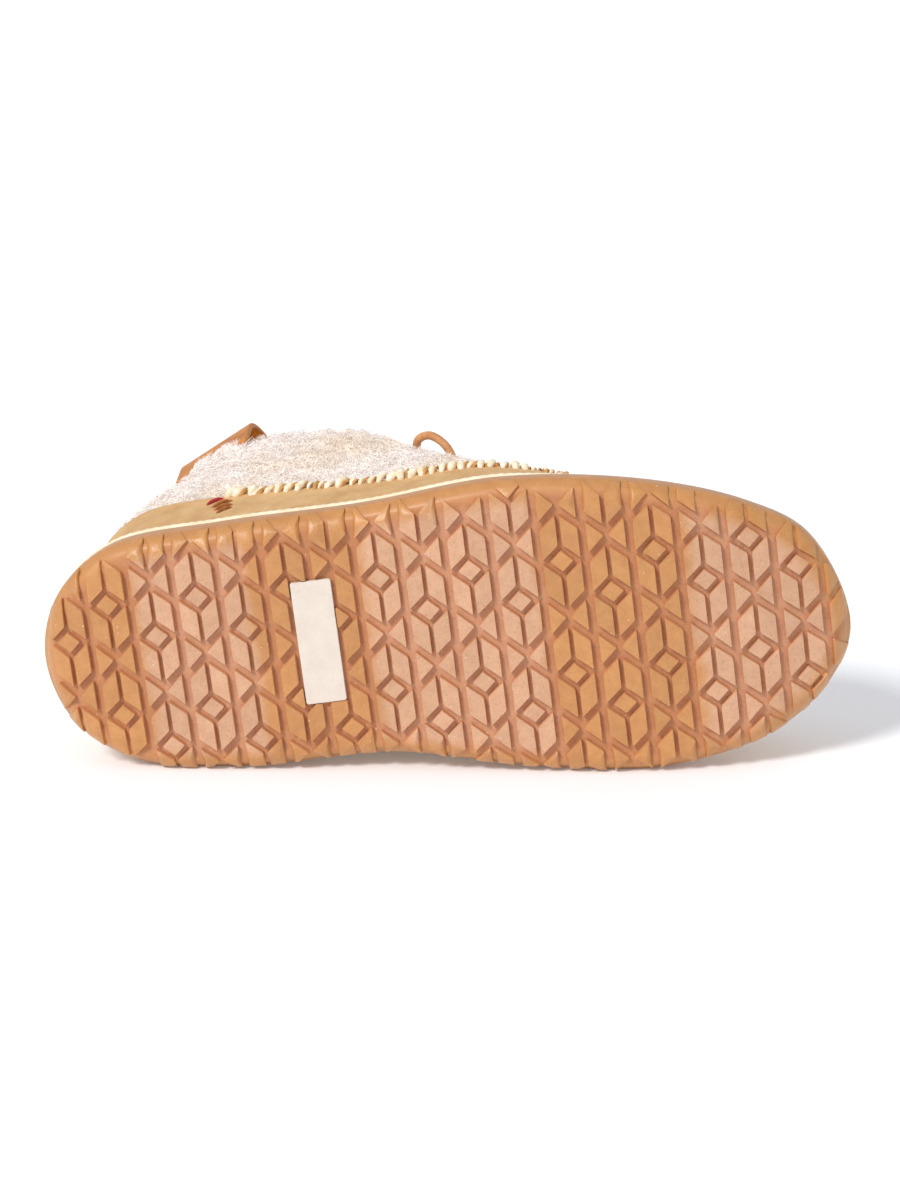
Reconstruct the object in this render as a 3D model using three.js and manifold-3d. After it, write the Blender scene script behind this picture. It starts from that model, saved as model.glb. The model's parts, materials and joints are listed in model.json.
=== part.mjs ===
// Slipper boot for the right foot, lying on its inner side.
// Millimetres. Every piece is built as the shoe stands: x runs from heel to toe, y towards the inner side
// and z up from the floor. The last group lays the finished shoe down.
import * as THREE from "three";
import { ConvexHull } from "three/addons/math/ConvexHull.js";
import { mergeVertices } from "three/addons/utils/BufferGeometryUtils.js";
import Module from "manifold-3d";

const solids = await Module();
solids.setup();

// Driving dimensions of the shoe
const SOLE_LENGTH = 268.5;
const BALL_WIDTH = 100;
const COLLAR_BACK_HEIGHT = 126;
const COLLAR_FRONT_HEIGHT = 121;
const WALL_THICKNESS = 4.5;
const FIT_GAP = 0.3;

// Outsole: the heel and the forefoot each stand flat on the floor between two places along the length
const HEEL_THICKNESS = 16;
const TOE_THICKNESS = 13;
const HEEL_FLAT = { start: 45, end: 80 };
const BALL_FLAT = { start: 138, end: 172 };
const HEEL_BEVEL = 5;
const ARCH_RISE = 1.8;
const TOE_SPRING = 16;
const EDGE_RADIUS = 7;
const EDGE_RINGS = [1, 0.27, 0];
const SIDE_RIB_DEPTH = 0.5;
const RIM_DRAFT = 0.4;
const TOE_POINTS = 5;
const HEEL_POINTS = 3;

// Edge of the outsole, from the toe round the inner side to the heel and back along the outer side,
// as shares of the sole's length and of its width at the ball
const SOLE_EDGE = [
  { place: "toe tip", along: 1, across: 0.16 },
  { place: "inner toe corner", along: 0.969, across: 0.337 },
  { place: "inner toe", along: 0.894, across: 0.482 },
  { place: "inner ball", along: 0.76, across: 0.55 },
  { place: "behind the inner ball", along: 0.615, across: 0.511 },
  { place: "inner waist", along: 0.421, across: 0.411 },
  { place: "inner heel", along: 0.231, across: 0.408 },
  { place: "inner heel corner", along: 0.1, across: 0.353 },
  { place: "inner back", along: 0.026, across: 0.21 },
  { place: "heel tip", along: 0, across: -0.015 },
  { place: "outer back", along: 0.026, across: -0.23 },
  { place: "outer heel corner", along: 0.1, across: -0.387 },
  { place: "outer heel", along: 0.245, across: -0.43 },
  { place: "outer waist", along: 0.417, across: -0.446 },
  { place: "outer ball", along: 0.596, across: -0.488 },
  { place: "outer toe", along: 0.76, across: -0.433 },
  { place: "outer toe corner", along: 0.886, across: -0.312 },
  { place: "beside the toe tip", along: 0.961, across: -0.162 },
];

// Tread: columns across the sole, each a row of diamonds, lozenges and triangles
const LUG_HEIGHT = 2.2;
const LUG_ROOT = 1;
const LUG_DRAFT = 0.95;
const LUG_SMALLEST_AREA = 16;
const COLUMN_PITCH = 15.15;
const COLUMN_GROOVE = 2;
const CENTRE_GROOVE = 1.2;
const FIRST_COLUMN = 10.8;
const COLUMN_COUNT = 18;
const PATTERN_LENGTH = 38.4;
const PATTERN_START = -21;
const PATTERN_STAGGER = 12.1;
const PATTERN_REPEATS = 2;
const LUG_SLOPE = 0.86;
const DIAMOND = { across: 3.8, along: 3.5 };
const LOZENGE = { near: 6.1, far: 15.6 };
const TRIANGLE = { tip: 1.1, halfBase: 4.7 };

// Label plate at the waist, let into the tread
const LABEL = { x: 94.1, y: -1.4, width: 13.6, length: 42, thickness: 1.6, pocketHeight: 8.8 };

// Upper: each wall line is one cubic curve from the sole's edge to the collar, given for a turn that runs
// from 0 at the toe to 1 at the heel. The line climbs by rise and swells by bulge, and comes to the collar
// from drop below it, reach of the way back to the sole's edge and flare outside it.
const FEATHER_INSET = 4.2;
const WALL_LINES = [
  { turn: 0, rise: 35, bulge: -1.5, reach: 0.31, drop: 51, flare: 0, collarAngle: 0 },
  { turn: 0.18, rise: 30.5, bulge: -3.5, reach: 0.21, drop: 50, flare: -3, collarAngle: 10 },
  { turn: 0.34, rise: 30.5, bulge: -5.5, reach: 0.26, drop: 48, flare: -2, collarAngle: 26 },
  { turn: 0.5, rise: 40.5, bulge: -2.5, reach: 0.4, drop: 43, flare: 5.5, collarAngle: 54 },
  { turn: 0.66, rise: 37.5, bulge: 1, reach: 0.1, drop: 36, flare: 5, collarAngle: 84 },
  { turn: 0.8, rise: 42, bulge: 1, reach: 0, drop: 33, flare: 5.5, collarAngle: 116 },
  { turn: 0.9, rise: 38, bulge: 1, reach: 0, drop: 34, flare: 1, collarAngle: 157 },
  { turn: 1, rise: 40, bulge: 2.3, reach: 0, drop: 36, flare: 1, collarAngle: 180 },
];
const COLLAR = { x: 80, halfLength: 44.5, halfWidth: 42, squareness: 2.7, roll: 1.6 };
const AROUND = 52;
const ROWS_ABOVE_RAND = 7;

// Suede rand round the foot of the upper, with a rolled top edge, and the binding cord under it
const RAND_TOP = [
  { turn: 0, height: 44 },
  { turn: 0.35, height: 46 },
  { turn: 0.7, height: 48 },
  { turn: 1, height: 55 },
];
const RAND_PROFILE = [
  { share: 0, thickness: 1.3 },
  { share: 0.4, thickness: 1.4 },
  { share: 0.82, thickness: 1.4 },
  { share: 0.92, thickness: 2 },
  { share: 1, thickness: 1.2 },
];
const BINDING = { height: 3.8, depth: 3.5, roundness: 0.8, lean: 0.5 };

const INSOLE_THICKNESS = 4;

// Leather pull tab folded over the collar at the outer back: it slides back along the collar and leans out
const TAB = { turn: 0.815, slide: 3, lean: 4, length: 31, drop: 16, leather: 1.8, stand: 0.5, gap: 1.3 };
const TAB_FOLD_STEPS = 8;
const TAB_SAMPLES = 8;
const TAB_SPREAD = 0.09;

// Leather lace tied in a bow at the throat: the routes are the middle of the cord, from the knot
const LACE_DIAMETER = 3;
const LACE_SIDES = 8;
const LACE_STEP = 8;
const KNOT = { x: 134.9, y: 0.9, z: 117, halfLength: 5, shoulder: 4.6, waist: 2.2, radius: 4, tip: 2.6 };
const KNOT_SIDES = 12;
const LACE_ROUTES = {
  lace_loop_outer: [
    [133.5, -5.5, 116.8],
    [129.4, -14.4, 119.3],
    [124, -25.5, 118],
    [121.2, -34.2, 114.2],
    [122.4, -40.2, 110.2],
    [127.2, -42.2, 106.6],
    [132.8, -38.6, 103],
    [135.6, -31.2, 100.9],
    [136.4, -23, 102.6],
    [136.4, -13.9, 107.2],
    [135.6, -6, 113.5],
  ],
  lace_loop_inner: [
    [133.4, 7.1, 116.7],
    [130.7, 15.4, 119.4],
    [126.5, 26.2, 118.3],
    [123.6, 35.8, 114.7],
    [124.2, 41.5, 110],
    [129.4, 43, 105.6],
    [134.5, 40, 101.9],
    [137.3, 32.5, 99.6],
    [137.9, 23.5, 101.6],
    [137.5, 14.4, 107.1],
    [136, 7.7, 113.5],
  ],
  lace_end_outer: [
    [139.5, -1.8, 114.7],
    [144, 0.8, 112.9],
    [147.6, 8.5, 109.4],
    [149, 16.3, 104.9],
    [149.2, 25.8, 101.6],
    [149.2, 34.6, 99.8],
  ],
  lace_end_inner: [
    [137.9, 4, 113.5],
    [141.4, 9.4, 109.5],
    [143, 16.6, 105.5],
    [143.6, 25.2, 103.1],
    [143.8, 33.3, 102],
  ],
};

// Share of the way round at the heel, steps of a search by halving, and a small step for slopes
const HEEL_SHARE = 0.5;
const BISECTIONS = 30;
const NUDGE = 1e-3;

const pointAt = (x, y, z) => new THREE.Vector3(x, y, z);

// A table of rows as a smooth function of one of its columns
function smoothTable(rows, key) {
  const columns = Object.keys(rows[0]).filter((name) => name !== key);
  const places = rows.map((row) => row[key]);
  const values = rows.flatMap((row) => columns.map((name) => row[name]));
  const curve = new THREE.CubicInterpolant(places, values, columns.length);
  curve.settings = { endingStart: THREE.ZeroSlopeEnding, endingEnd: THREE.ZeroSlopeEnding };
  return (at) => {
    const result = curve.evaluate(at);
    return Object.fromEntries(columns.map((name, i) => [name, result[i]]));
  };
}

// Geometry from points and triangles given as rows of three indices
function geometryOf(points, triangles) {
  const geometry = new THREE.BufferGeometry();
  geometry.setFromPoints(points);
  geometry.setIndex(triangles.flat());
  return geometry;
}

// Quads between each ring and the next, all rings having the same number of points, anticlockwise from above.
// Rings climb up to the ring called turned and go down from it, and quads split the same way on both sides.
function bandsBetween(ringCount, around, closed, turned = ringCount) {
  const triangles = [];
  const bands = closed ? ringCount : ringCount - 1;
  for (let ring = 0; ring < bands; ring += 1) {
    const below = ring * around;
    const above = ((ring + 1) % ringCount) * around;
    for (let i = 0; i < around; i += 1) {
      const next = (i + 1) % around;
      const quad = [below + i, below + next, above + next, above + i];
      const [a, b, c, d] = ring < turned ? quad : [...quad.slice(1), quad[0]];
      triangles.push([a, b, c], [a, c, d]);
    }
  }
  return triangles;
}

// A cap of strips straight across the shoe, for a ring whose first point is the toe and middle point the heel
function stripCap(first, around, facingUp) {
  const triangles = [];
  for (let i = 0; i < around / 2; i += 1) {
    const inner = first + i;
    const innerNext = first + i + 1;
    const outer = first + ((around - i) % around);
    const outerNext = first + around - i - 1;
    if (innerNext !== outerNext) {
      triangles.push([inner, innerNext, outerNext]);
    }
    if (inner !== outer) {
      triangles.push([inner, outerNext, outer]);
    }
  }
  return facingUp ? triangles : triangles.map(([a, b, c]) => [a, c, b]);
}

function ringOf(makePoint) {
  return Array.from({ length: AROUND }, (_, i) => makePoint(i / AROUND));
}

// A wall that runs round the shoe: its rings go up the outside and down the inside
function wallSolid(outside, inside) {
  const rings = [...outside, ...inside.toReversed()];
  return geometryOf(rings.flat(), bandsBetween(rings.length, AROUND, true, outside.length));
}

// A slab or tub: its rings go up the outside, between a cap underneath and a cap on top
function cappedSolid(rings) {
  const around = rings[0].length;
  const triangles = bandsBetween(rings.length, around, false);
  const lastRing = (rings.length - 1) * around;
  triangles.push(...stripCap(0, around, false), ...stripCap(lastRing, around, true));
  return geometryOf(rings.flat(), triangles);
}

function toSolid(geometry) {
  const bare = geometry.clone();
  bare.deleteAttribute("normal");
  bare.deleteAttribute("uv");
  const merged = mergeVertices(bare);
  return new solids.Manifold(
    new solids.Mesh({
      numProp: 3,
      vertProperties: Float32Array.from(merged.attributes.position.array),
      triVerts: Uint32Array.from(merged.index.array),
    }),
  );
}

function toGeometry(solid) {
  const mesh = solid.getMesh();
  const geometry = new THREE.BufferGeometry();
  geometry.setAttribute("position", new THREE.BufferAttribute(mesh.vertProperties, mesh.numProp));
  geometry.setIndex(new THREE.BufferAttribute(mesh.triVerts, 1));
  return geometry;
}

// Edge of the sole in plan, and the way out from it
const soleEdge = new THREE.CatmullRomCurve3(
  SOLE_EDGE.map((row) => pointAt(row.along * SOLE_LENGTH, row.across * BALL_WIDTH, 0)),
  true,
  "centripetal",
);

function outwardAt(u) {
  const tangent = soleEdge.getTangent(u);
  return pointAt(tangent.y, -tangent.x, 0).normalize();
}

function insetEdge(u, inset) {
  return soleEdge.getPoint(u).addScaledVector(outwardAt(u), -inset);
}

// Height of the lug tops above the floor, and of the sole's upper face
function toeSpring(x) {
  const share = Math.max(0, (x - BALL_FLAT.end) / (SOLE_LENGTH - BALL_FLAT.end));
  return TOE_SPRING * share ** 2;
}

function treadHeight(x) {
  const bevelShare = Math.max(0, 1 - x / HEEL_FLAT.start);
  const archShare = THREE.MathUtils.clamp((x - HEEL_FLAT.end) / (BALL_FLAT.start - HEEL_FLAT.end), 0, 1);
  const arch = ARCH_RISE * Math.sin(Math.PI * archShare) ** 2;
  return HEEL_BEVEL * bevelShare ** 2 + arch + toeSpring(x);
}

function soleTop(x) {
  const thickness = THREE.MathUtils.mapLinear(x, 0, SOLE_LENGTH, HEEL_THICKNESS, TOE_THICKNESS);
  return toeSpring(x) + thickness;
}

// Rise of the rounded lower edge at a distance inside the sole's edge
function edgeRise(inside) {
  const reach = THREE.MathUtils.clamp(EDGE_RADIUS - inside, 0, EDGE_RADIUS);
  return EDGE_RADIUS - Math.sqrt(EDGE_RADIUS ** 2 - reach ** 2);
}

const edgePolygon = ringOf((u) => insetEdge(u, 0));

function distanceInside(x, y) {
  const point = pointAt(x, y, 0);
  const nearest = pointAt(0, 0, 0);
  const distances = edgePolygon.map((corner, i) => {
    const side = new THREE.Line3(corner, edgePolygon[(i + 1) % AROUND]);
    return side.closestPointToPoint(point, true, nearest).distanceTo(point);
  });
  return Math.min(...distances);
}

// Where one side of the sole's inset edge passes a place along the length; the side starts at the toe
function edgeShareAt(x, toeShare, inset) {
  let before = toeShare;
  let after = HEEL_SHARE;
  for (let step = 0; step < BISECTIONS; step += 1) {
    const middle = (before + after) / 2;
    if (insetEdge(middle, inset).x > x) {
      before = middle;
    } else {
      after = middle;
    }
  }
  return before;
}

// Places round the outsole: its strips meet in the grooves between the columns, with more points at each end
function outsoleShares() {
  const inset = EDGE_RADIUS + SIDE_RIB_DEPTH;
  const grooves = [];
  for (let column = COLUMN_COUNT - 2; column > 0; column -= 1) {
    grooves.push(FIRST_COLUMN + (column - 0.5) * COLUMN_PITCH);
  }
  const sideShares = (toeShare) => {
    const atGrooves = grooves.map((x) => edgeShareAt(x, toeShare, inset));
    const between = (from, to, count) =>
      Array.from({ length: count }, (_, i) => THREE.MathUtils.lerp(from, to, (i + 1) / (count + 1)));
    return [
      ...between(toeShare, atGrooves[0], TOE_POINTS),
      ...atGrooves,
      ...between(atGrooves.at(-1), HEEL_SHARE, HEEL_POINTS),
    ];
  };
  return [0, ...sideShares(0), HEEL_SHARE, ...sideShares(1).toReversed()];
}

// Outsole without its lugs: the floor of the grooves, a rounded lower edge and a plain side wall
function outsoleBody() {
  const shares = outsoleShares();
  const rings = EDGE_RINGS.map((part) =>
    shares.map((u) => {
      const inset = part * EDGE_RADIUS;
      const point = insetEdge(u, inset + SIDE_RIB_DEPTH);
      point.z = treadHeight(point.x) + LUG_HEIGHT + edgeRise(inset);
      return point;
    }),
  );
  rings.push(
    shares.map((u) => {
      const point = insetEdge(u, SIDE_RIB_DEPTH + RIM_DRAFT);
      point.z = soleTop(point.x);
      return point;
    }),
  );
  return cappedSolid(rings);
}

// Lugs of one repeat of the pattern about its diamond, as outlines of [across the column, along it]
function patternLugs() {
  const half = (COLUMN_PITCH - COLUMN_GROOVE) / 2;
  const centre = CENTRE_GROOVE / 2;
  const middle = PATTERN_LENGTH / 2;
  const lugs = [
    [
      [DIAMOND.across, 0],
      [0, DIAMOND.along],
      [-DIAMOND.across, 0],
      [0, -DIAMOND.along],
    ],
  ];
  for (const side of [1, -1]) {
    for (const end of [1, -1]) {
      lugs.push(
        [
          [centre, LOZENGE.near - LUG_SLOPE * centre],
          [half, LOZENGE.near - LUG_SLOPE * half],
          [half, LOZENGE.far - LUG_SLOPE * half],
          [centre, LOZENGE.far - LUG_SLOPE * centre],
        ].map(([x, y]) => [side * x, end * y]),
      );
    }
    lugs.push(
      [
        [TRIANGLE.tip, middle],
        [half, middle - TRIANGLE.halfBase],
        [half, middle + TRIANGLE.halfBase],
      ].map(([x, y]) => [side * x, y]),
    );
  }
  return lugs;
}

function anticlockwise(outline) {
  return THREE.ShapeUtils.isClockWise(outline) ? outline.toReversed() : outline;
}

// The part of the sole's outline that lies inside one convex lug
function clipToLug(outline, lug) {
  let kept = outline;
  lug.forEach((from, i) => {
    const to = lug[(i + 1) % lug.length];
    const side = (p) => (to.x - from.x) * (p.y - from.y) - (to.y - from.y) * (p.x - from.x);
    kept = kept.flatMap((p, j) => {
      const q = kept[(j + 1) % kept.length];
      const crossing = side(p) * side(q) < 0 ? [p.clone().lerp(q, side(p) / (side(p) - side(q)))] : [];
      return side(p) >= 0 ? [p, ...crossing] : crossing;
    });
  });
  return kept;
}

// One lug: a drafted block from inside the sole down to the tread, following the rounded edge
function lugSolid(outline) {
  const middle = outline.reduce((sum, p) => sum.add(p), new THREE.Vector2()).divideScalar(outline.length);
  const ground = outline.map((p) => {
    const top = p.clone().sub(middle).multiplyScalar(LUG_DRAFT).add(middle);
    return pointAt(top.x, top.y, treadHeight(top.x) + edgeRise(distanceInside(top.x, top.y)));
  });
  const root = outline.map((p) =>
    pointAt(p.x, p.y, treadHeight(p.x) + edgeRise(distanceInside(p.x, p.y)) + LUG_HEIGHT + LUG_ROOT),
  );
  const count = outline.length;
  const caps = THREE.ShapeUtils.triangulateShape(outline, []);
  const triangles = bandsBetween(2, count, false);
  triangles.push(...caps.map(([a, b, c]) => [a, c, b]));
  triangles.push(...caps.map((corners) => corners.map((i) => i + count)));
  return toSolid(geometryOf([...ground, ...root], triangles));
}

function treadOutlines() {
  const outline = edgePolygon.map((p) => new THREE.Vector2(p.x, p.y));
  const lugs = [];
  for (let column = 0; column < COLUMN_COUNT; column += 1) {
    const x = FIRST_COLUMN + column * COLUMN_PITCH;
    const start = PATTERN_START + (column % 2 === 0 ? PATTERN_STAGGER : 0);
    for (let repeat = -PATTERN_REPEATS; repeat <= PATTERN_REPEATS; repeat += 1) {
      const y = start + repeat * PATTERN_LENGTH;
      for (const lug of patternLugs()) {
        const corners = lug.map(([across, along]) => new THREE.Vector2(x + across, y + along));
        lugs.push(clipToLug(outline, anticlockwise(corners)));
      }
    }
  }
  return lugs.filter((lug) => lug.length > 2 && THREE.ShapeUtils.area(lug) > LUG_SMALLEST_AREA);
}

function labelSlope() {
  const half = LABEL.width / 2;
  return Math.atan2(treadHeight(LABEL.x + half) - treadHeight(LABEL.x - half), LABEL.width);
}

function outsoleGeometry() {
  const across = LABEL.width + 2 * FIT_GAP;
  const along = LABEL.length + 2 * FIT_GAP;
  const pocket = new THREE.BoxGeometry(across, along, LABEL.pocketHeight);
  pocket.translate(LABEL.x, LABEL.y, 0);
  const lugs = solids.Manifold.union(treadOutlines().map(lugSolid));
  return toGeometry(toSolid(outsoleBody()).add(lugs.subtract(toSolid(pocket))));
}

// Wall of the upper: u runs once round the shoe from the toe over the inner side, t from sole to collar
const wallLine = smoothTable(WALL_LINES, "turn");
const randTop = smoothTable(RAND_TOP, "turn");
const turnAt = (u) => 1 - Math.abs(1 - 2 * u);

function collarPoint(angle) {
  const power = 2 / COLLAR.squareness;
  const along = Math.sign(Math.cos(angle)) * Math.abs(Math.cos(angle)) ** power;
  const across = Math.sign(Math.sin(angle)) * Math.abs(Math.sin(angle)) ** power;
  const height = THREE.MathUtils.mapLinear(along, -1, 1, COLLAR_BACK_HEIGHT, COLLAR_FRONT_HEIGHT);
  return pointAt(COLLAR.x + COLLAR.halfLength * along, COLLAR.halfWidth * across, height);
}

function wallCurve(u) {
  const shifted = THREE.MathUtils.euclideanModulo(u, 1);
  const line = wallLine(turnAt(shifted));
  const side = shifted > 0.5 ? -1 : 1;
  const out = outwardAt(shifted);
  const foot = insetEdge(shifted, FEATHER_INSET);
  foot.z = soleTop(foot.x) + FIT_GAP;
  const top = collarPoint(side * THREE.MathUtils.degToRad(line.collarAngle));
  const low = foot.clone().addScaledVector(out, line.bulge);
  low.z += line.rise;
  const high = top.clone().lerp(pointAt(foot.x, foot.y, top.z), line.reach).addScaledVector(out, line.flare);
  high.z -= line.drop;
  return new THREE.CubicBezierCurve3(foot, low, high, top);
}

function wallNormal(u, t) {
  const low = Math.max(0, t - NUDGE);
  const high = Math.min(1, t + NUDGE);
  const around = wallCurve(u + NUDGE).getPoint(t).sub(wallCurve(u - NUDGE).getPoint(t));
  const up = wallCurve(u).getPoint(high).sub(wallCurve(u).getPoint(low));
  const normal = around.cross(up);
  if (t === 0 || t === 1) {
    normal.z = 0;
  }
  return normal.normalize();
}

// A point on the wall, or off it by a distance that is positive outside
function skin(u, t, offset) {
  return wallCurve(u).getPoint(t).addScaledVector(wallNormal(u, t), offset);
}

// Where a wall line passes a height
function shareAtHeight(u, height) {
  const curve = wallCurve(u);
  let below = 0;
  let above = 1;
  for (let step = 0; step < BISECTIONS; step += 1) {
    const middle = (below + above) / 2;
    if (curve.getPoint(middle).z < height) {
      below = middle;
    } else {
      above = middle;
    }
  }
  return below;
}

// Where a share of the rand's height lies on a wall line
function randShare(u, share) {
  const rim = skin(u, 0, FIT_GAP + BINDING.depth);
  const base = soleTop(rim.x) + BINDING.height + 2 * FIT_GAP;
  return shareAtHeight(u, THREE.MathUtils.lerp(base, randTop(turnAt(u)).height, share));
}

function upperGeometry() {
  const shares = [() => 0, ...RAND_PROFILE.map((row) => (u) => randShare(u, row.share))];
  for (let row = 1; row <= ROWS_ABOVE_RAND; row += 1) {
    shares.push((u) => THREE.MathUtils.lerp(randShare(u, 1), 1, row / ROWS_ABOVE_RAND));
  }
  const outside = shares.map((share) => ringOf((u) => skin(u, share(u), 0)));
  const inside = shares
    .filter((_, row) => row % 2 === 0)
    .map((share) => ringOf((u) => skin(u, share(u), -WALL_THICKNESS)));
  const crown = ringOf((u) => skin(u, 1, -WALL_THICKNESS / 2).add(pointAt(0, 0, COLLAR.roll)));
  return wallSolid([...outside, crown], inside);
}

function randGeometry() {
  const shareOf = (row) => (u) => randShare(u, row.share);
  const outside = RAND_PROFILE.map((row) => ringOf((u) => skin(u, shareOf(row)(u), FIT_GAP + row.thickness)));
  const inside = RAND_PROFILE.map((row) => ringOf((u) => skin(u, shareOf(row)(u), FIT_GAP)));
  return wallSolid(outside, inside);
}

// Binding: a cord with a rounded outer face that lies on the sole's rim against the wall
function bindingGeometry() {
  const corner = (depth, height) =>
    ringOf((u) => {
      const point = skin(u, 0, FIT_GAP + depth);
      point.z = soleTop(point.x) + FIT_GAP + height;
      return point;
    });
  const round = BINDING.roundness;
  const outside = [
    corner(BINDING.depth - round, 0),
    corner(BINDING.depth, BINDING.height / 2),
    corner(BINDING.depth - round, BINDING.height),
  ];
  return wallSolid(outside, [corner(0, 0), corner(BINDING.lean, BINDING.height)]);
}

// Insole: a slab whose edge follows the inside of the wall
function insoleGeometry() {
  const depth = -WALL_THICKNESS - 3 * FIT_GAP;
  const ringAt = (lift) =>
    ringOf((u) => {
      const height = soleTop(insetEdge(u, FEATHER_INSET).x) + lift;
      const point = skin(u, shareAtHeight(u, height), depth);
      point.z = soleTop(point.x) + lift;
      return point;
    });
  return cappedSolid([ringAt(FIT_GAP), ringAt(FIT_GAP + INSOLE_THICKNESS)]);
}

// The tab's frame at the collar: out from the wall, up with the tab's lean and back along the collar
function tabFrame() {
  const u = 1 - TAB.turn / 2;
  const along = skin(u + NUDGE, 1, 0).sub(skin(u - NUDGE, 1, 0)).setZ(0).normalize();
  const up = pointAt(0, 0, 1).applyAxisAngle(along, THREE.MathUtils.degToRad(TAB.lean));
  const out = along.clone().cross(up);
  const top = skin(u, 1, 0).addScaledVector(along, -TAB.slide);
  return new THREE.Matrix4().makeBasis(out, up, out.clone().cross(up)).setPosition(top);
}

// How far the wall's outer and inner faces lie out of the tab's frame, over the tab's length and drop
function wallUnderTab(frame) {
  const toFrame = frame.clone().invert();
  const reach = TAB.length / 2 + TAB.leather;
  const range = { outer: -Infinity, inner: Infinity };
  for (let step = -TAB_SAMPLES; step <= TAB_SAMPLES; step += 1) {
    const u = 1 - TAB.turn / 2 + (step / TAB_SAMPLES) * TAB_SPREAD;
    const low = shareAtHeight(u, wallCurve(u).getPoint(1).z - TAB.drop);
    for (let row = 0; row <= TAB_SAMPLES; row += 1) {
      const t = THREE.MathUtils.lerp(low, 1, row / TAB_SAMPLES);
      const outer = skin(u, t, 0).applyMatrix4(toFrame);
      const inner = skin(u, t, -WALL_THICKNESS).applyMatrix4(toFrame);
      if (Math.abs(outer.z) < reach) {
        range.outer = Math.max(range.outer, outer.x);
      }
      if (Math.abs(inner.z) < reach) {
        range.inner = Math.min(range.inner, inner.x);
      }
    }
  }
  return range;
}

// Pull tab: a strip of leather folded over the collar, straight along its fold and clear of the wall
function tabGeometry(range) {
  const inner = (range.outer - range.inner) / 2 + TAB.gap;
  const outer = inner + TAB.leather;
  const section = new THREE.Shape();
  section.moveTo(outer, -TAB.drop);
  section.lineTo(outer, TAB.stand);
  section.absarc(0, TAB.stand, outer, 0, Math.PI, false);
  section.lineTo(-outer, -TAB.drop);
  section.lineTo(-inner, -TAB.drop);
  section.lineTo(-inner, TAB.stand);
  section.absarc(0, TAB.stand, inner, Math.PI, 0, true);
  section.lineTo(inner, -TAB.drop);
  const strip = { depth: TAB.length, bevelEnabled: false, curveSegments: TAB_FOLD_STEPS };
  const geometry = new THREE.ExtrudeGeometry(section, strip);
  geometry.translate((range.outer + range.inner) / 2, 0, -TAB.length / 2);
  return geometry;
}

function knotGeometry() {
  const profile = [
    [0, -KNOT.halfLength],
    [KNOT.tip, -KNOT.shoulder],
    [KNOT.radius, -KNOT.waist],
    [KNOT.radius, KNOT.waist],
    [KNOT.tip, KNOT.shoulder],
    [0, KNOT.halfLength],
  ];
  return new THREE.LatheGeometry(
    profile.map(([radius, along]) => new THREE.Vector2(radius, along)),
    KNOT_SIDES,
  );
}

function laceGeometry(route) {
  const path = new THREE.CatmullRomCurve3(route.map((place) => pointAt(...place)));
  const section = new THREE.Shape();
  for (let side = 0; side < LACE_SIDES; side += 1) {
    const angle = (2 * Math.PI * side) / LACE_SIDES;
    const corner = [(LACE_DIAMETER / 2) * Math.cos(angle), (LACE_DIAMETER / 2) * Math.sin(angle)];
    if (side === 0) {
      section.moveTo(...corner);
    } else {
      section.lineTo(...corner);
    }
  }
  const steps = Math.round(path.getLength() / LACE_STEP);
  return new THREE.ExtrudeGeometry(section, { extrudePath: path, steps, bevelEnabled: false });
}

function pieceOf(name, geometry, color, roughness) {
  const material = new THREE.MeshStandardMaterial({ color, roughness, metalness: 0 });
  const mesh = new THREE.Mesh(geometry, material);
  mesh.name = name;
  return mesh;
}

// Points of a mesh as it stands
function standingPoints(mesh) {
  mesh.updateMatrix();
  const position = mesh.geometry.attributes.position;
  return Array.from({ length: position.count }, (_, i) =>
    pointAt(0, 0, 0).fromBufferAttribute(position, i).applyMatrix4(mesh.matrix),
  );
}

// Middle of the shoe's weight, taking the outsole and the upper for the whole of it
function middleOf(meshes) {
  const middle = pointAt(0, 0, 0);
  let total = 0;
  for (const mesh of meshes) {
    const points = standingPoints(mesh);
    const index = mesh.geometry.index.array;
    for (let i = 0; i < index.length; i += 3) {
      const [a, b, c] = [points[index[i]], points[index[i + 1]], points[index[i + 2]]];
      const volume = a.clone().cross(b).dot(c);
      middle.addScaledVector(a.clone().add(b).add(c).divideScalar(4), volume);
      total += volume;
    }
  }
  return middle.divideScalar(total);
}

// The outward normal of the flat side of the shoe's hull that it rests on, lying on its inner side
function restingNormal(meshes, middle) {
  const hull = new ConvexHull().setFromPoints(meshes.flatMap(standingPoints));
  let best = pointAt(0, -1, 0);
  for (const face of hull.faces) {
    const corners = [face.edge, face.edge.next, face.edge.next.next].map((edge) => edge.head().point);
    const below = middle.clone().addScaledVector(face.normal, -face.distanceToPoint(middle));
    const under = new THREE.Triangle(...corners).containsPoint(below);
    if (under && face.normal.y > best.y) {
      best = face.normal.clone();
    }
  }
  return best;
}

// Lay the shoe down on that side with the toe along +x, its lowest points at z = 0
// and its middle over the origin
function layDown(shoe, bodyMeshes, heavyMeshes) {
  const down = restingNormal(bodyMeshes, middleOf(heavyMeshes));
  const turn = new THREE.Quaternion().setFromUnitVectors(down, pointAt(0, 0, -1));
  const toe = pointAt(1, 0, 0).applyQuaternion(turn);
  const heading = new THREE.Quaternion().setFromAxisAngle(pointAt(0, 0, 1), -Math.atan2(toe.y, toe.x));
  shoe.quaternion.copy(heading.multiply(turn));
  const box = new THREE.Box3().setFromPoints(
    bodyMeshes.flatMap(standingPoints).map((point) => point.applyQuaternion(shoe.quaternion)),
  );
  const centre = box.getCenter(pointAt(0, 0, 0));
  shoe.position.set(-centre.x, -centre.y, -box.min.z);
}

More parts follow.
